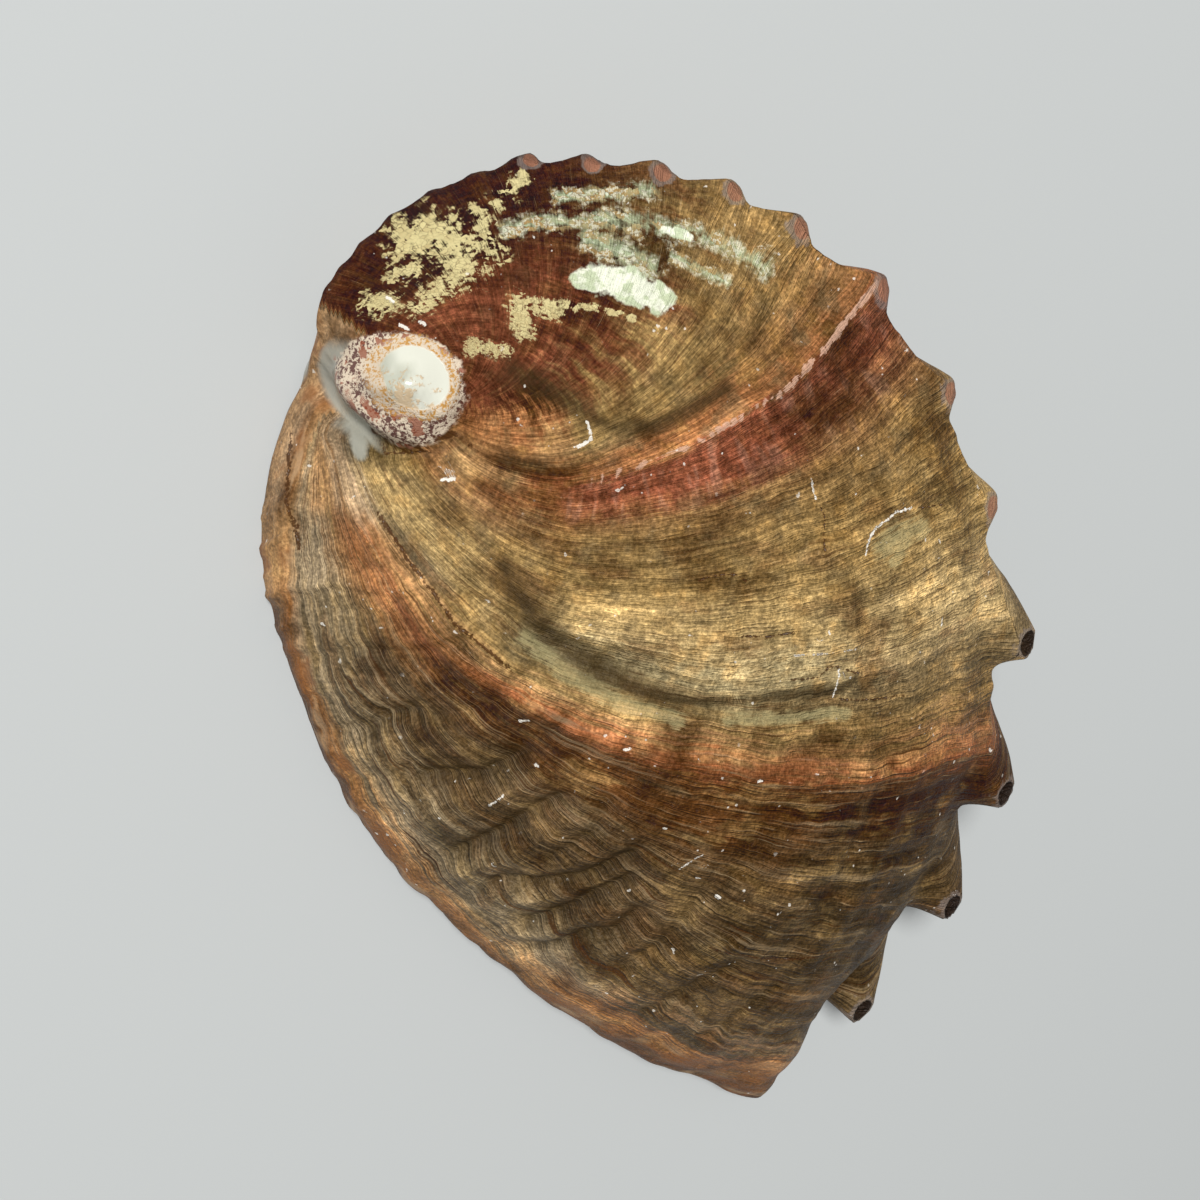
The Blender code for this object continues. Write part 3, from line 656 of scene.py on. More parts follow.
def back_sheet():
    """The back, with the fields that its colours follow."""
    mesh, ring, bearing = sheet("back", BACK_SEGMENTS)
    points, down = smooth_form(CREST, FOOT, TOP_HEIGHT, ring, bearing, 1)
    place(mesh, points)
    x, y = points[:, 0], points[:, 1]
    angle, distance = growth_angle(x, y), np.hypot(x - APEX[0], y - APEX[1])
    stage = growth_stage(x, y)
    # Past the last stage lies the rolled rim, which counts as RIM_STAGES wherever it is
    last = np.minimum(stage, LAST_STAGE)
    turned = angle - last
    rim_start = np.exp(row_reach(last) - line_fall(turned))
    rim_width = np.maximum(smooth_curve(angle, EDGE, 1) - rim_start, 0.3)
    rim_share = np.where(stage > LAST_STAGE, np.clip((distance - rim_start) / rim_width, 0, 1), 0)
    stage = last + RIM_STAGES * rim_share
    run = distance - np.exp(row_reach(last))
    swell, wrinkles = relief(x, y, stage, turned)
    top_swell, in_top = top_form(x, y)
    swell = (swell + top_swell) * (1 - ease(ring, 0.96, 1.0)) * (1 - down)
    marks = {kind: np.where(down > 0, -1, marked(x, y, lines)) for kind, lines in MARKS.items()}
    points = points + normals(mesh) * swell[:, None]
    mouth = np.full(len(points), FAR)
    sealed_mouth = np.full(len(points), FAR)
    for number, hole in enumerate(HOLES):
        sealed = number >= OPEN_HOLES
        points, from_edge = raise_tube(points, hole, sealed)
        mouth = np.minimum(mouth, from_edge)
        if sealed:
            sealed_mouth = np.minimum(sealed_mouth, from_edge)
    low, high = np.array([list(corner) for corner in cad_box]) / MM
    points = np.clip(points, low + BOX_GAP, high - BOX_GAP)
    place(mesh, points)
    # Between the ridges the stage is drawn so that each keeps one stage all along
    red = smooth_curve(turned, RED_RIDGE, 1)
    orange = smooth_curve(turned, ORANGE_RIDGE, 1)
    drawn = stage + (RED_STAGE - red) * ease(stage, red - 30, red)
    middle = RED_STAGE + (stage - red) / (orange - red) * (ORANGE_STAGE - RED_STAGE)
    newer = ORANGE_STAGE + (stage - orange) / (LAST_STAGE - orange) * (LAST_STAGE - ORANGE_STAGE)
    drawn = np.where(stage < red, drawn, np.where(stage < orange, middle, newer))
    drawn = np.where(stage > LAST_STAGE, stage, drawn)
    # Beside the coiled top the rim is drawn out into many lines, which turn down the wall
    beside = ease(angle, 135, 165) * (stage > LAST_STAGE)
    drawn = drawn + (2 * rim_share - 4 * down) * beside
    # Elsewhere down the wall the lines run on backwards and towards the foot
    drawn = drawn + np.maximum(LAST_STAGE - 1 - drawn, 0) * 0.9 * down * (1 - beside)
    crest = bump(stage - red, 0.45) * (1 - ease(turned, 46, 54)) + 0.25 * bump(stage - orange, 0.5)
    across, beyond, width = streaks(x, y)
    on_top = down <= 0
    fields = {
        "stage": drawn, "run": np.where(on_top, -run, -10 * down), "turned": turned,
        "in_top": in_top, "hollow": np.zeros(len(points)),
        "mouth": mouth, "sealed": sealed_mouth, "bore": np.zeros(len(points)),
        "wrinkle": wrinkles * on_top, "crest": crest * on_top,
        "across": across, "beyond": np.where(on_top, beyond, FAR), "width": width,
    }
    fields.update(marks)
    return mesh, rim_order(ring, bearing), fields


def hollow_sheet():
    """The hollow side, one wall thickness in, with the wider shelf along the row of holes."""
    mesh, ring, bearing = sheet("hollow", HOLLOW_SEGMENTS)
    top = TOP_HEIGHT - WALL_THICKNESS
    points, _ = smooth_form(INNER_CREST, INNER_FOOT, top, ring, bearing, 0)
    stage = growth_stage(points[:, 0], points[:, 1])
    turned = growth_angle(points[:, 0], points[:, 1]) - stage
    # The wrinkles and the hollow before the second ridge show on this side too
    orange = stage - smooth_curve(turned, ORANGE_RIDGE, 1)
    dip = ease(turned, 26, 36) * (1 - ease(turned, 50, 60)) * bump(orange + 12.0, 3.1)
    _, wrinkles = relief(points[:, 0], points[:, 1], stage, turned)
    swell = INNER_WRINKLE_DEPTH * wrinkles + INNER_DIP_DEPTH * dip
    points[:, 2] -= swell * (1 - ease(ring, 0.90, 0.99))
    place(mesh, points)
    zero = np.zeros(len(points))
    fields = {
        "stage": stage, "run": zero, "turned": turned,
        "in_top": zero - 1, "hollow": ease(1 - ring, 0, 0.05),
        "mouth": zero + FAR, "sealed": zero + FAR, "bore": zero,
        "wrinkle": zero, "crest": zero,
        "across": zero + FAR, "beyond": zero + FAR, "width": zero,
    }
    fields.update({kind: zero - 1 for kind in MARKS})
    return mesh, rim_order(ring, bearing), fields


def write_fields(mesh, fields):
    for name, values in fields.items():
        layer = mesh.attributes.new(name, "FLOAT", "POINT")
        layer.data.foreach_set("value", np.ascontiguousarray(values, np.float32))


def skin_mesh():
    """Back and hollow side joined round the rim into one closed skin, with its fields."""
    bm = bmesh.new()
    rims = []
    sides = (back_sheet(), hollow_sheet())
    for mesh, rim, _ in sides:
        start = len(bm.verts)
        bm.from_mesh(mesh)
        bm.verts.ensure_lookup_table()
        rims.append([bm.verts[start + index] for index in rim])
        bpy.data.meshes.remove(mesh)
    outer, inner = rims
    ratio = len(outer) // len(inner)
    for i, here in enumerate(inner):
        there = inner[(i + 1) % len(inner)]
        steps = [outer[(ratio * i + k) % len(outer)] for k in range(ratio + 1)]
        for first, second in zip(steps[:-1], steps[1:]):
            bm.faces.new((here, first, second))
        bm.faces.new((here, steps[-1], there))
    bmesh.ops.scale(bm, vec=(MM, MM, MM), verts=bm.verts)
    bmesh.ops.recalc_face_normals(bm, faces=bm.faces)
    mesh = bpy.data.meshes.new("shell_skin")
    bm.to_mesh(mesh)
    bm.free()
    fields = {name: np.concatenate([side[2][name] for side in sides]) for name in sides[0][2]}
    return mesh, fields


def drill_mesh():
    """The bores of the open holes, from outside their mouths into the hollow."""
    bm = bmesh.new()
    for hole in HOLES[:OPEN_HOLES]:
        mouth, axis, back, side, _ = tube_frame(hole)
        length = 2 * (hole[4] + DRILL_OUTSIDE)
        middle = mouth + axis * (DRILL_OUTSIDE - length / 2)
        turn = Matrix((back * BORE_LENGTH, side * BORE_WIDTH, axis)).transposed().to_4x4()
        bmesh.ops.create_cone(
            bm, segments=DRILL_SIDES, cap_ends=True, radius1=0.5 * MM, radius2=0.5 * MM,
            depth=length * MM, matrix=Matrix.Translation(middle * MM) @ turn,
        )
    mesh = bpy.data.meshes.new("drills")
    bm.to_mesh(mesh)
    bm.free()
    return mesh


def drilled(mesh, fields):
    """The skin with the open holes bored through it, and its fields on the new points too."""
    scene = bpy.context.scene
    skin = bpy.data.objects.new("shell_skin", mesh)
    drills = bpy.data.objects.new("drills", drill_mesh())
    scene.collection.objects.link(skin)
    scene.collection.objects.link(drills)
    cut = skin.modifiers.new("bores", "BOOLEAN")
    cut.operation = "DIFFERENCE"
    cut.object = drills
    bored = bpy.data.meshes.new_from_object(skin.evaluated_get(bpy.context.evaluated_depsgraph_get()))
    old = np.empty(len(mesh.vertices) * 3, np.float32)
    mesh.vertices.foreach_get("co", old)
    old = old.reshape(-1, 3)
    tree = KDTree(len(old))
    for index, point in enumerate(old):
        tree.insert(point, index)
    tree.balance()
    found = [tree.find(vertex.co) for vertex in bored.vertices]
    nearest = np.array([index for _, index, _ in found])
    gap = np.array([distance for _, _, distance in found])
    fields = {name: values[nearest] for name, values in fields.items()}
    fields["bore"][gap > 1e-7] = 1.0
    skin.modifiers.clear()
    skin.data = bored
    bpy.data.objects.remove(drills)
    write_fields(bored, fields)
    bored.shade_smooth()
    return skin


skin = drilled(*skin_mesh())
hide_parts("shell")
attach(skin, "root")

# Finish of the shell
# The outside is a thin coloured layer laid down line by line at the lip, rubbed through to
# paler lime on its ridges and old top. The hollow side is nacre, smooth and pearly.
PALETTE = {
    "deep brown": (74, 47, 27),
    "umber": (96, 62, 34),
    "dark maroon": (92, 54, 38),
    "maroon": (116, 66, 46),
    "maroon red": (140, 80, 56),
    "brick": (136, 82, 52),
    "rust": (156, 102, 64),
    "rust brown": (142, 102, 65),
    "orange": (182, 124, 78),
    "bright tan": (195, 154, 104),
    "orange tan": (168, 127, 84),
    "gold": (180, 138, 90),
    "olive brown": (134, 102, 64),
    "olive": (140, 112, 70),
    "olive gold": (162, 132, 83),
    "pale gold": (180, 151, 100),
    "khaki": (160, 137, 95),
    "grey olive": (126, 107, 76),
    "sea cream": (166, 149, 110),
    "dark drab": (86, 68, 45),
    "drab": (102, 81, 55),
    "grey drab": (124, 107, 80),
    "pale drab": (148, 129, 101),
    "sage": (172, 162, 118),
    "groove brown": (58, 47, 32),
    "cream tan": (188, 156, 120),
    "tan": (176, 135, 90),
    "rim orange": (184, 128, 78),
    "rim brown": (124, 82, 50),
    "cream line": (206, 184, 144),
    "worn pink": (206, 166, 142),
    "ochre": (186, 140, 76),
    "cream": (224, 210, 154),
    "mint": (190, 204, 164),
    "worn green": (240, 243, 220),
    "pearl": (202, 202, 188),
    "pearl dark": (172, 173, 158),
    "crust dark": (96, 68, 62),
    "red stain": (132, 68, 46),
    "bore dark": (44, 36, 32),
    "crust pale": (198, 182, 160),
    "nacre grey": (152, 151, 139),
    "plug orange": (168, 112, 84),
    "plug grey": (160, 146, 138),
    "chip": (246, 240, 228),
    "inner silver": (206, 208, 202),
    "inner green": (168, 204, 188),
    "inner pink": (218, 188, 190),
}
# Colours of the growth bands in five zones from the row of holes round to the coiled top, each
# a list of stages with their colours
SHOULDER_BANDS = (
    (-124, "maroon"), (-75, "dark maroon"), (-45, "maroon"), (-25, "rust brown"), (-16, "olive"),
    (-6, "olive"), (1, "rust brown"), (4.1, "rust"), (4.9, "maroon"), (9, "dark maroon"),
    (14, "olive brown"), (22, "olive"), (27, "olive gold"), (37, "khaki"), (41, "grey olive"),
    (45, "olive"), (47.6, "rust brown"), (49.6, "brick"), (50.8, "deep brown"),
    (54, "deep brown"), (58, "dark drab"), (70, "dark drab"), (76, "drab"),
    (76.4, "grey drab"), (77.2, "rim brown"), (78.2, "rim orange"), (81.5, "rim brown"),
)
CROWN_BANDS = (
    (-124, "maroon"), (-60, "maroon red"), (-45, "maroon"), (-33, "maroon red"),
    (-20, "rust brown"), (-11, "olive gold"), (-5, "olive gold"), (-1.5, "rust brown"),
    (2, "rust"), (4.1, "orange"), (4.9, "maroon red"), (12, "maroon red"), (16, "olive brown"),
    (21, "olive"), (27, "olive gold"), (32, "pale gold"), (36, "khaki"), (39, "sea cream"),
    (42, "khaki"), (44.5, "olive gold"), (46.4, "tan"), (48, "rust"), (49.6, "brick"),
    (51, "umber"), (57, "umber"), (63, "drab"), (73, "drab"), (75.6, "grey drab"),
    (78, "pale drab"), (79.4, "tan"), (80.6, "rim orange"), (82, "rim brown"),
)
FLANK_BANDS = (
    (-124, "maroon"), (-60, "maroon red"), (-44, "maroon"), (-34, "deep brown"), (-25, "umber"),
    (-17, "rust"), (-9, "gold"), (-4, "orange tan"), (-1, "umber"), (2, "umber"), (4, "brick"),
    (8, "brick"), (13, "rust"), (20, "olive brown"), (26, "olive gold"), (31, "olive brown"),
    (35, "olive"), (38, "pale gold"), (43, "olive gold"), (48, "rust brown"), (50.5, "orange"),
    (52.5, "brick"), (56, "rust"), (60, "rust brown"), (64, "drab"), (70, "grey drab"),
    (76, "grey drab"), (79.2, "pale drab"), (80.2, "cream tan"), (80.8, "rim orange"),
    (82, "rim brown"),
)
CREASE_BANDS = (
    (-124, "maroon"), (-60, "maroon"), (-45, "dark maroon"), (-34, "maroon"), (-24, "rust"),
    (-16, "orange"), (-10, "rust"), (-5, "rust brown"), (0, "umber"), (3, "deep brown"),
    (6, "orange tan"), (9, "orange tan"), (13, "rust"), (20, "orange tan"), (26, "olive gold"),
    (33, "pale gold"), (39, "pale gold"), (42, "grey drab"), (44.5, "drab"), (46.5, "tan"),
    (50, "rust"), (56, "orange"), (60, "rust"), (66, "orange tan"), (72, "pale drab"),
    (78, "pale drab"), (81, "tan"),
)
TOP_BANDS = (
    (-124, "maroon"), (-60, "maroon red"), (-40, "maroon red"), (-25, "rust"), (-10, "orange"),
    (-3, "rust brown"), (2, "rust brown"), (5.5, "orange tan"), (9, "bright tan"),
    (13, "bright tan"), (17, "orange tan"), (21, "rust brown"), (26, "olive gold"),
    (33, "pale gold"), (41, "pale gold"), (46, "pale drab"), (50.5, "cream tan"),
    (55, "orange tan"), (60, "cream tan"), (65, "tan"), (72, "orange tan"), (79, "pale drab"),
    (80.5, "orange tan"), (81.6, "rim brown"), (82.4, "cream tan"), (84, "tan"),
)
FIRST_STAGE, STAGE_SPAN = -124.0, 210.0
# Object coordinates are metres, and the sizes of the patterns are in millimetres
GRAIN = 1000.0
# Light that the sheen adds to every colour, and the darkest pigment
SHEEN, DARKEST = 0.011, 0.001
RELIEF_DEPTH = 0.0005


def linear(colour):
    """A colour given as 0 to 255 on a screen, as light."""
    shares = [part / 255 for part in colour]
    light = [c / 12.92 if c <= 0.04045 else ((c + 0.055) / 1.055) ** 2.4 for c in shares]
    return (*light, 1.0)


class Socket:
    """A value in a finish's nodes, on which arithmetic adds Math nodes."""

    def __init__(self, finish, socket):
        self.finish = finish
        self.socket = socket

    def math(self, operation, *values):
        inputs = dict(enumerate(values))
        return self.finish.node("ShaderNodeMath", {"operation": operation}, inputs)

    def __add__(self, other):
        return self.math("ADD", self, other)

    def __sub__(self, other):
        return self.math("SUBTRACT", self, other)

    def __rsub__(self, other):
        return self.math("SUBTRACT", other, self)

    def __mul__(self, other):
        return self.math("MULTIPLY", self, other)

    __radd__, __rmul__ = __add__, __mul__

    def __truediv__(self, other):
        return self.math("DIVIDE", self, other)

    def highest(self, other):
        return self.math("MAXIMUM", self, other)

    def hypot(self, other):
        return self.math("SQRT", self * self + other * other)

    def exp(self):
        return self.math("EXPONENT", self)

    def rise(self, start, end):
        """0 up to start, 1 from end on, and an even S between them."""
        settings = {"interpolation_type": "SMOOTHSTEP"}
        return self.finish.node("ShaderNodeMapRange", settings, {0: self, 1: start, 2: end})

    def within(self, start, full, fade, end):
        """1 between full and fade, and 0 up to start and from end on."""
        return self.rise(start, full) * self.rise(end, fade)


class Finish:
    """A material whose nodes are added one by one."""

    def __init__(self, name):
        self.material = bpy.data.materials.new(name)
        self.material.use_nodes = True
        self.tree = self.material.node_tree
        self.surface = self.tree.nodes["Principled BSDF"]

    def node(self, kind, settings, inputs, output=0):
        """Adds a node with its settings, then its inputs, and returns one of its outputs."""
        added = self.tree.nodes.new(kind)
        for name, value in settings.items():
            if name == "stops":
                self.set_stops(added.color_ramp, value)
            else:
                setattr(added, name, value)
        for name, value in inputs.items():
            self.feed(added.inputs[name], value)
        return Socket(self, added.outputs[output])

    def feed(self, socket, value):
        if isinstance(value, Socket):
            self.tree.links.new(value.socket, socket)
        else:
            socket.default_value = value

    @staticmethod
    def set_stops(ramp, stops):
        while len(ramp.elements) < len(stops):
            ramp.elements.new(1.0)
        for element, (position, colour) in zip(ramp.elements, stops):
            element.position = position
            element.color = colour

    def value(self, name):
        """One of the skin's fields."""
        return self.node("ShaderNodeAttribute", {"attribute_name": name}, {}, "Fac")

    def vector(self, x, y):
        return self.node("ShaderNodeCombineXYZ", {}, {0: x, 1: y})

    def vector_math(self, operation, first, second, output=0):
        settings = {"operation": operation}
        return self.node("ShaderNodeVectorMath", settings, {0: first, 1: second}, output)

    def toward(self, offset, direction):
        """How far an offset in metres reaches along a direction, in millimetres."""
        return self.vector_math("DOT_PRODUCT", offset, (*direction, 0.0), "Value") * GRAIN

    def noise(self, where, scale, detail, roughness):
        inputs = {"Vector": where, "Scale": scale, "Detail": detail, "Roughness": roughness}
        return self.node("ShaderNodeTexNoise", {}, inputs)

    def streaks(self, across, along, detail, roughness=0.5):
        """Noise drawn out in streaks by how fast each coordinate changes."""
        return self.noise(self.vector(across, along), 1.0, detail, roughness)

    def mix(self, under, over, share):
        """Lays one colour over another."""
        settings = {"data_type": "RGBA"}
        under, over = (linear(PALETTE[c]) if isinstance(c, str) else c for c in (under, over))
        return self.node("ShaderNodeMix", settings, {0: share, 6: under, 7: over}, 2)

    def toned(self, colour, amount):
        """A colour made lighter or darker by a value."""
        settings = {"operation": "SCALE"}
        return self.node("ShaderNodeVectorMath", settings, {0: colour, "Scale": amount})

    def bands(self, stage, bands):
        stops = [
            ((at - FIRST_STAGE) / STAGE_SPAN, linear(PALETTE[colour])) for at, colour in bands
        ]
        where = (stage - FIRST_STAGE) / STAGE_SPAN
        return self.node("ShaderNodeValToRGB", {"stops": stops}, {0: where})


# The skin's fields, and unevenness of four sizes
f = Finish("shell_growth")
stage, run, turned = f.value("stage"), f.value("run"), f.value("turned")
wrinkle, hollow, mouth = f.value("wrinkle"), f.value("hollow"), f.value("mouth")
here = f.node("ShaderNodeTexCoord", {}, {}, "Object")
mottle = f.noise(here, 0.12 * GRAIN, 3.0, 0.6)
grain = f.noise(here, 2.2 * GRAIN, 2.0, 0.65).rise(0.3, 0.7)
speck = f.noise(here, 0.55 * GRAIN, 3.0, 0.6)
tint = f.noise(here, 0.28 * GRAIN, 2.0, 0.6)

# Distance from the middle of the coiled top, and how far along three sides of it
cap_place = (TOP_PLACE[0] * MM, TOP_PLACE[1] * MM, 0.0)
from_cap = f.vector_math("SUBTRACT", here, cap_place)
flat = f.vector_math("MULTIPLY", from_cap, (1.0, 1.0, 0.0))
reach = f.vector_math("LENGTH", flat, (0.0, 0.0, 0.0), "Value") * GRAIN
worn_side = f.toward(from_cap, (-0.88, -0.47))
lip_side = f.toward(from_cap, (-0.96, 0.28))
high_side = f.toward(from_cap, (0.36, 0.91))

# Growth lines wander a little, bend round the wrinkles and run through every colour
slow = f.streaks(stage * 0.10, run * 0.06, 1.0)
quick = f.streaks(stage * 0.40, run * 0.22, 2.0)
line = stage + (slow - 0.5) * 2.4 + (quick - 0.5) * 0.9 + wrinkle * 0.4
broad = f.streaks(line * 0.8, run * 0.04, 3.0, 0.6).rise(0.33, 0.67)
fine = f.streaks(line * 2.4, run * 0.06, 3.0, 0.65).rise(0.28, 0.72)
finer = f.streaks(line * 6.0, run * 0.22, 2.0, 0.6).rise(0.3, 0.7)
fibre = f.streaks(line * 3.2, run * 0.42, 3.0, 0.65).rise(0.3, 0.7)
cords = f.streaks(turned * 1.4, stage * 0.06, 3.0, 0.7).rise(0.3, 0.7)
old = stage.rise(0.0, -30.0)
young = stage.rise(38.0, 50.0)
wide_rim = turned.rise(18.0, 4.0) * 2.4 + turned.within(30.0, 42.0, 72.0, 84.0) * 1.3
rim = (stage + wide_rim).rise(79.4, 80.4)
thread = fibre + (fine - fibre) * (0.25 + young * 0.6)
brushed = f.streaks(turned * 0.30 + (slow - 0.5) * 2.0, stage * 0.035, 3.0, 0.6)

# Colours by zone and stage, laid down in streaks along the growth lines
zone = turned + (mottle - 0.5) * 12.0 + (fine - 0.5) * 3.0
banded = stage + (slow - 0.5) * 3.0 + (quick - 0.5) * 1.6 + (broad - 0.5) * 2.0
banded += (thread - 0.5) * 2.4 + (cords - 0.5) * (0.4 + old * 8.0)
banded += (brushed - 0.5) * old * 90.0
banded += (stage + wide_rim * 0.8 - banded) * rim * 0.8
colour = f.mix(f.bands(banded, SHOULDER_BANDS), f.bands(banded, CROWN_BANDS), zone.rise(12, 19))
colour = f.mix(colour, f.bands(banded, FLANK_BANDS), zone.rise(44, 49))
colour = f.mix(colour, f.bands(banded, CREASE_BANDS), zone.rise(56, 62))
colour = f.mix(colour, f.bands(banded, TOP_BANDS), zone.rise(68, 76))

# Beside the mouth's corner the side is worn to orange, and later to cream
corner = turned.rise(86.0, 92.0)
colour = f.mix(colour, "orange", corner * stage.within(2.0, 5.0, 14.0, 20.0) * 0.7)
colour = f.mix(colour, "cream tan", corner * stage.within(52.0, 58.0, 70.0, 76.0) * 0.6)

# After the first ridge the cords break the red into paler and darker blocks
block = f.streaks(turned * 0.5, stage * 0.12, 2.0)
reddest = stage.within(4.2, 6.0, 11.0, 18.0) * turned.rise(56.0, 48.0)
colour = f.mix(colour, "maroon red", reddest * 0.35)
colour = f.mix(colour, "worn pink", block.rise(0.52, 0.66) * reddest * 0.16)
colour = f.mix(colour, "dark maroon", block.rise(0.50, 0.38) * reddest * 0.5)
plain = (1.0 - old * 0.6) * (1.0 - reddest * 0.8)

# Blotches, lines and grain, and painted shade in the hollows and creases. The side beside the coiled
# top is paler.
streaky = f.streaks(line * 0.5, run * 0.10, 2.0, 0.6)
tint += (streaky - tint) * young * 0.8
colour = f.mix(colour, "ochre", tint.rise(0.52, 0.68) * plain * (0.30 - young * 0.16))
colour = f.mix(colour, "grey olive", tint.rise(0.47, 0.32) * plain * 0.45)
colour = f.mix(colour, "umber", mottle.rise(0.45, 0.30) * 0.5)
blotch = f.streaks(line * 0.30, run * 0.11, 3.0, 0.65)
colour = f.mix(colour, "olive gold", blotch.rise(0.52, 0.64) * plain * 0.3)
colour = f.mix(colour, "rust brown", blotch.rise(0.46, 0.36) * plain * 0.3)
contrast = (broad - 0.5) * 0.55 + (thread - 0.5) * 0.58 + (finer - 0.5) * 0.42
contrast *= (1.0 - rim * 0.6) * (1.0 - old * 0.35)
contrast += (cords - 0.5) * (0.2 + old * 0.3) + (brushed - 0.5) * old * 1.8
contrast += (grain - 0.5) * 0.6 + (mottle - 0.5) * 2.2 + (speck - 0.5) * 1.3
contrast += (blotch - 0.5) * 1.3 - 0.14 - rim * 0.25

# Some parts of the back are darker or paler as a whole
contrast -= young * turned.rise(62.0, 52.0) * 0.12
darker = 0.25 + turned.rise(34.0, 10.0) * 0.75 + turned.rise(58.0, 80.0) * 0.1
contrast -= stage.rise(-12.0, -32.0) * darker
contrast -= turned.rise(84.0, 94.0) * stage.rise(12.0, 26.0) * 0.5
contrast += turned.within(42.0, 50.0, 60.0, 68.0) * stage.rise(50.0, 52.0) * 0.3
worn_top = stage.rise(54.0, 62.0) * 0.6 - stage.within(24.0, 37.0, 42.0, 49.0)
worn_top -= stage.within(-24.0, -16.0, -10.0, -4.0) * 0.5
contrast += turned.rise(84.0, 92.0) * worn_top
# Beside the second ridge: a painted highlight where a crest catches the light (stages 43 to 51),
# painted shade in the hollow behind it, and an older pale band of the shell's own
crest_light_hollow_shade_pale_band = stage.within(43.0, 46.0, 49.0, 51.0) - stage.within(36.0, 39.0, 43.0, 46.0) * 0.6
crest_light_hollow_shade_pale_band += stage.within(27.0, 31.0, 36.0, 38.0) * 0.8
contrast += turned.within(26.0, 34.0, 42.0, 48.0) * crest_light_hollow_shade_pale_band * 0.5
pale_row = stage.within(31.0, 35.0, 38.5, 41.0) + stage.within(47.0, 48.5, 51.0, 52.5)
contrast += turned.rise(20.0, 12.0) * pale_row * 0.5
contrast -= turned.within(42.0, 50.0, 56.0, 62.0) * stage.rise(-1.0, 2.0) * 0.2
colour = f.toned(colour, contrast.exp())
crisp = f.streaks(line * 1.7, run * 0.035, 3.0, 0.75)
colour = f.mix(colour, "deep brown", crisp.rise(0.41, 0.35) * (0.55 + young * 0.25) * (1.0 - rim))
colour = f.mix(colour, "cream line", (thread * finer).rise(0.62, 0.95) * 0.25)
colour = f.mix(colour, "pale drab", (thread * broad).rise(0.35, 0.8) * young * (1.0 - rim) * 0.4)
sage = (f.value("sage") + (speck - 0.5) * 1.0 + (fine - 0.5) * 0.5).rise(0.35, 0.8)
colour = f.mix(colour, "sage", sage * f.value("sage").rise(0.0, 0.3) * 0.5)
# Painted shade: the shade marks darken the hollows and the groove towards a dark brown
shade = (f.value("shade") + (thread - 0.5) * 0.5 + (speck - 0.5) * 0.8).rise(0.1, 1.0)
colour = f.mix(colour, "groove brown", shade * f.value("shade").rise(0.0, 0.3) * 0.8)
# Painted shade and real dirt together in the valleys of the wrinkles
colour = f.mix(colour, "groove brown", wrinkle.rise(0.20, 0.85) * 0.55)
colour = f.mix(colour, "rim brown", rim * mottle.rise(0.50, 0.62) * 0.8)
colour = f.mix(colour, "cream tan", rim * tint.rise(0.55, 0.65) * 0.5)

# Worn crests, patches and marks. The oldest part is crossed by a net of fine cracks, and the
# crease beside the coiled top is bare nacre.
worn_crest = (f.value("crest") + (speck - 0.5) * 1.6 + (finer - 0.5) * 0.3).rise(0.50, 0.66)
colour = f.mix(colour, "worn pink", worn_crest * 0.75)
cells = f.vector(stage * 0.46 + (speck - 0.5) * 1.0, turned * 1.25 + (grain - 0.5) * 0.4)
tile = f.node("ShaderNodeTexVoronoi", {}, {"Vector": cells, "Scale": 1.0}, "Color")
patchy = f.node("ShaderNodeRGBToBW", {}, {0: tile}) * 0.55 + speck * 0.7 - 0.12
settings = {"feature": "DISTANCE_TO_EDGE"}
net = f.node("ShaderNodeTexVoronoi", settings, {"Vector": cells, "Scale": 1.0})
net = net.rise(0.08, 0.01) * speck.rise(0.35, 0.65)
creamy = f.mix("cream", "olive gold", patchy.rise(0.50, 0.85) * 0.35)
ragged = (patchy - 0.5) * 1.5 + (speck - 0.5) * 1.1 + (fine - 0.5) * 0.3
cream = (f.value("cream") + ragged).rise(0.48, 0.78) * f.value("cream").rise(0.0, 0.25)
colour = f.mix(colour, creamy, cream * 0.85)
minty = f.mix("mint", "pale gold", patchy.rise(0.4, 0.7))
minty = f.mix(minty, "worn green", (speck + (grain - 0.5) * 0.3).rise(0.52, 0.62) * 0.6)
mint = (f.value("mint") + ragged * 0.8).rise(0.25, 0.95) * f.value("mint").rise(0.0, 0.3)
colour = f.mix(colour, minty, mint * 0.8)
greenish = f.mix("worn green", "mint", speck.rise(0.48, 0.60) * 0.8)
worn = (f.value("worn") + (speck - 0.5) * 1.0 + (mottle - 0.5) * 0.9).rise(0.42, 0.62)
colour = f.mix(colour, greenish, worn * f.value("worn").rise(0.0, 0.25) * 0.92)
colour = f.mix(colour, "deep brown", net * old * (1.0 - worn * 0.8) * 0.6)
crescent = f.value("in_top").rise(-0.22, -0.15) * lip_side.rise(2.0, 4.0)
crescent *= high_side.rise(4.0, 2.0) * reach.rise(11.0, 9.5)
pearly_crease = (f.value("nacre") + (speck - 0.5) * 0.6).rise(0.25, 0.70)
pearly_crease = (pearly_crease * f.value("nacre").rise(0.0, 0.3)).highest(crescent)
colour = f.mix(colour, "nacre grey", pearly_crease * 0.85)
fleck = f.noise(here, 0.85 * GRAIN, 1.5, 0.6).rise(0.72, 0.75)
colour = f.mix(colour, "chip", fleck * mottle.rise(0.42, 0.56) * 0.65)
gap = f.value("across").hypot(f.value("beyond")) + (grain - 0.5) * 0.22 + (speck - 0.5) * 0.35
width = f.value("width")
colour = f.mix(colour, "chip", (width * (0.3 + speck) - gap).rise(-0.05, 0.05) * 0.85)
# Dark cracks and spots, and the painted shadow in the crease under the coiled top
colour = f.mix(colour, "deep brown", (0.0 - width - gap).rise(-0.08, 0.05) * 0.85)

# Mouths of the tubes and the lime that seals the old ones
colour = f.mix(colour, "plug grey", (mouth + (speck - 0.5) * 1.2).rise(1.15, 0.95) * 0.4)
plug = (f.value("sealed") + (speck - 0.5) * 0.5).rise(0.80, 0.6)
colour = f.mix(colour, "plug orange", plug * 0.7)

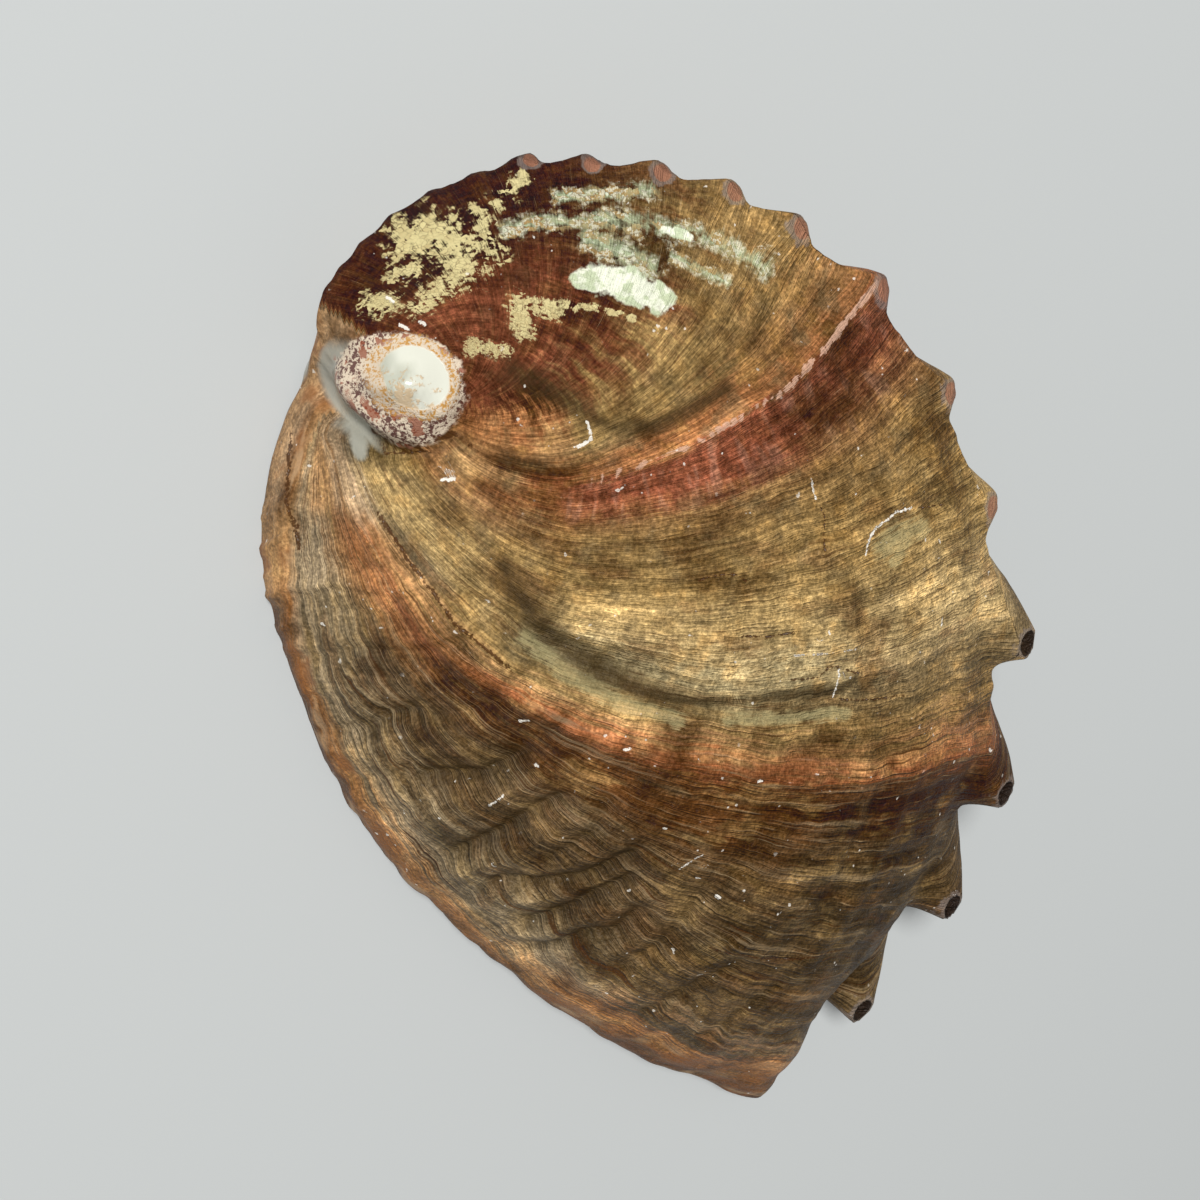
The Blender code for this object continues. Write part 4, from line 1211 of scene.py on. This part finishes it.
# Coiled top: a rubbed pearly cap, stained and ringed with ochre, in a pale speckled crust
pepper = f.noise(here, 2.3 * GRAIN, 2.0, 0.75)
crusted = f.mix("crust dark", "crust pale", (pepper + (speck - 0.5) * 0.7).rise(0.40, 0.54))
stain = (speck + (tint - 0.5) * 1.2 + lip_side * 0.01).rise(0.64, 0.67)
crusted = f.mix(crusted, "red stain", stain * 0.8)
on_crust = (f.value("in_top") + (speck - 0.5) * 0.4).rise(0.0, 0.10)
colour = f.mix(colour, crusted, on_crust)
ring = (reach + (speck - 0.5) * 2.0 + (pepper - 0.5) * 1.5).rise(4.9, 4.3)
colour = f.mix(colour, f.mix("ochre", "crust pale", pepper.rise(0.42, 0.52)), ring * 0.9)
cap = (reach + (speck - 0.5) * 0.5).rise(3.65, 3.35)
stained = (speck + worn_side * 0.05 + (pepper - 0.5) * 0.4).rise(0.54, 0.66)
pearl = f.mix("pearl", "pearl dark", (mottle + worn_side * 0.06).rise(0.45, 0.75))
pearl = f.mix(pearl, "ochre", stained * 0.5)
colour = f.mix(colour, pearl, cap)

# Nacre of the hollow side
swirl = f.streaks(stage * 0.05, turned * 0.04, 3.0, 0.6)
pearly = f.mix("inner silver", "inner green", swirl.rise(0.42, 0.60))
pearly = f.mix(pearly, "inner pink", f.noise(here, 0.05 * GRAIN, 3.0, 0.5).rise(0.50, 0.68))
inside = hollow.rise(0.3, 0.8)
colour = f.mix(colour, pearly, inside)
# The walls of the open bores are painted near black: painted shade inside the holes
colour = f.mix(colour, "bore dark", f.value("bore") * (1.0 - inside) * 0.95)

# Sheen and fine relief
smooth = inside.highest(cap * (1.0 - stained * 0.3)).highest(pearly_crease * 0.7)
rough = 0.50 - smooth * 0.28 + (thread - 0.5) * 0.10
height = broad * 0.4 + thread * (0.6 + young * 0.3) + finer * 0.25 + cords * (0.15 + old * 0.4)
height = height * (1.0 - rim * 0.6) + grain * 0.18 + speck * 0.5
# The lines were finer on the young shell, so their relief is lower near the coiled top
height = height * reach.rise(-20.0, 90.0) * (1.0 - on_crust) + pepper * on_crust * 0.5
height *= 1.0 - smooth
inputs = {"Strength": 1.0, "Distance": RELIEF_DEPTH, "Height": height}
relief_bump = f.node("ShaderNodeBump", {}, inputs)
# The sheen veils the darkest colours, so the pigment under it is deeper
deeper = f.vector_math("SUBTRACT", colour, (SHEEN,) * 3)
deeper = f.vector_math("MAXIMUM", deeper, (DARKEST,) * 3)
f.feed(f.surface.inputs["Base Color"], deeper)
f.feed(f.surface.inputs["Roughness"], rough)
f.feed(f.surface.inputs["Normal"], relief_bump)
f.surface.inputs["Specular IOR Level"].default_value = 0.16
f.feed(f.surface.inputs["Coat Weight"], smooth * 0.6)
f.surface.inputs["Coat Roughness"].default_value = 0.15

skin.data.materials.clear()
skin.data.materials.append(f.material)

# Floor and light
# A plain pale floor, a broad soft light overhead and a pale room round them.
FLOOR_SIZE = 4.0
FLOOR_COLOUR = (0.44, 0.455, 0.45, 1.0)
ROOM_COLOUR = (1.0, 1.0, 1.0, 1.0)
ROOM_STRENGTH = 0.25
LIGHT_PLACE = Vector((-0.45, 1.03, 1.70))
LIGHT_WIDTH = 0.7
LIGHT_POWER = 55.5

bm = bmesh.new()
bmesh.ops.create_grid(bm, x_segments=1, y_segments=1, size=FLOOR_SIZE / 2)
floor_mesh = bpy.data.meshes.new("floor")
bm.to_mesh(floor_mesh)
bm.free()
floor = bpy.data.objects.new("floor", floor_mesh)
bpy.context.scene.collection.objects.link(floor)
floor_finish = Finish("floor_pale")
floor_finish.surface.inputs["Base Color"].default_value = FLOOR_COLOUR
floor_finish.surface.inputs["Roughness"].default_value = 0.9
floor_mesh.materials.append(floor_finish.material)

lamp = bpy.data.lights.new("overhead", "AREA")
lamp.shape = "DISK"
lamp.size = LIGHT_WIDTH
lamp.energy = LIGHT_POWER
overhead = bpy.data.objects.new("overhead", lamp)
overhead.matrix_world = (
    Matrix.Translation(LIGHT_PLACE) @ LIGHT_PLACE.to_track_quat("Z", "Y").to_matrix().to_4x4()
)
bpy.context.scene.collection.objects.link(overhead)

room = bpy.data.worlds.new("room")
room.use_nodes = True
room.node_tree.nodes["Background"].inputs["Color"].default_value = ROOM_COLOUR
room.node_tree.nodes["Background"].inputs["Strength"].default_value = ROOM_STRENGTH
bpy.context.scene.world = room
bpy.context.scene.view_settings.view_transform = "Standard"
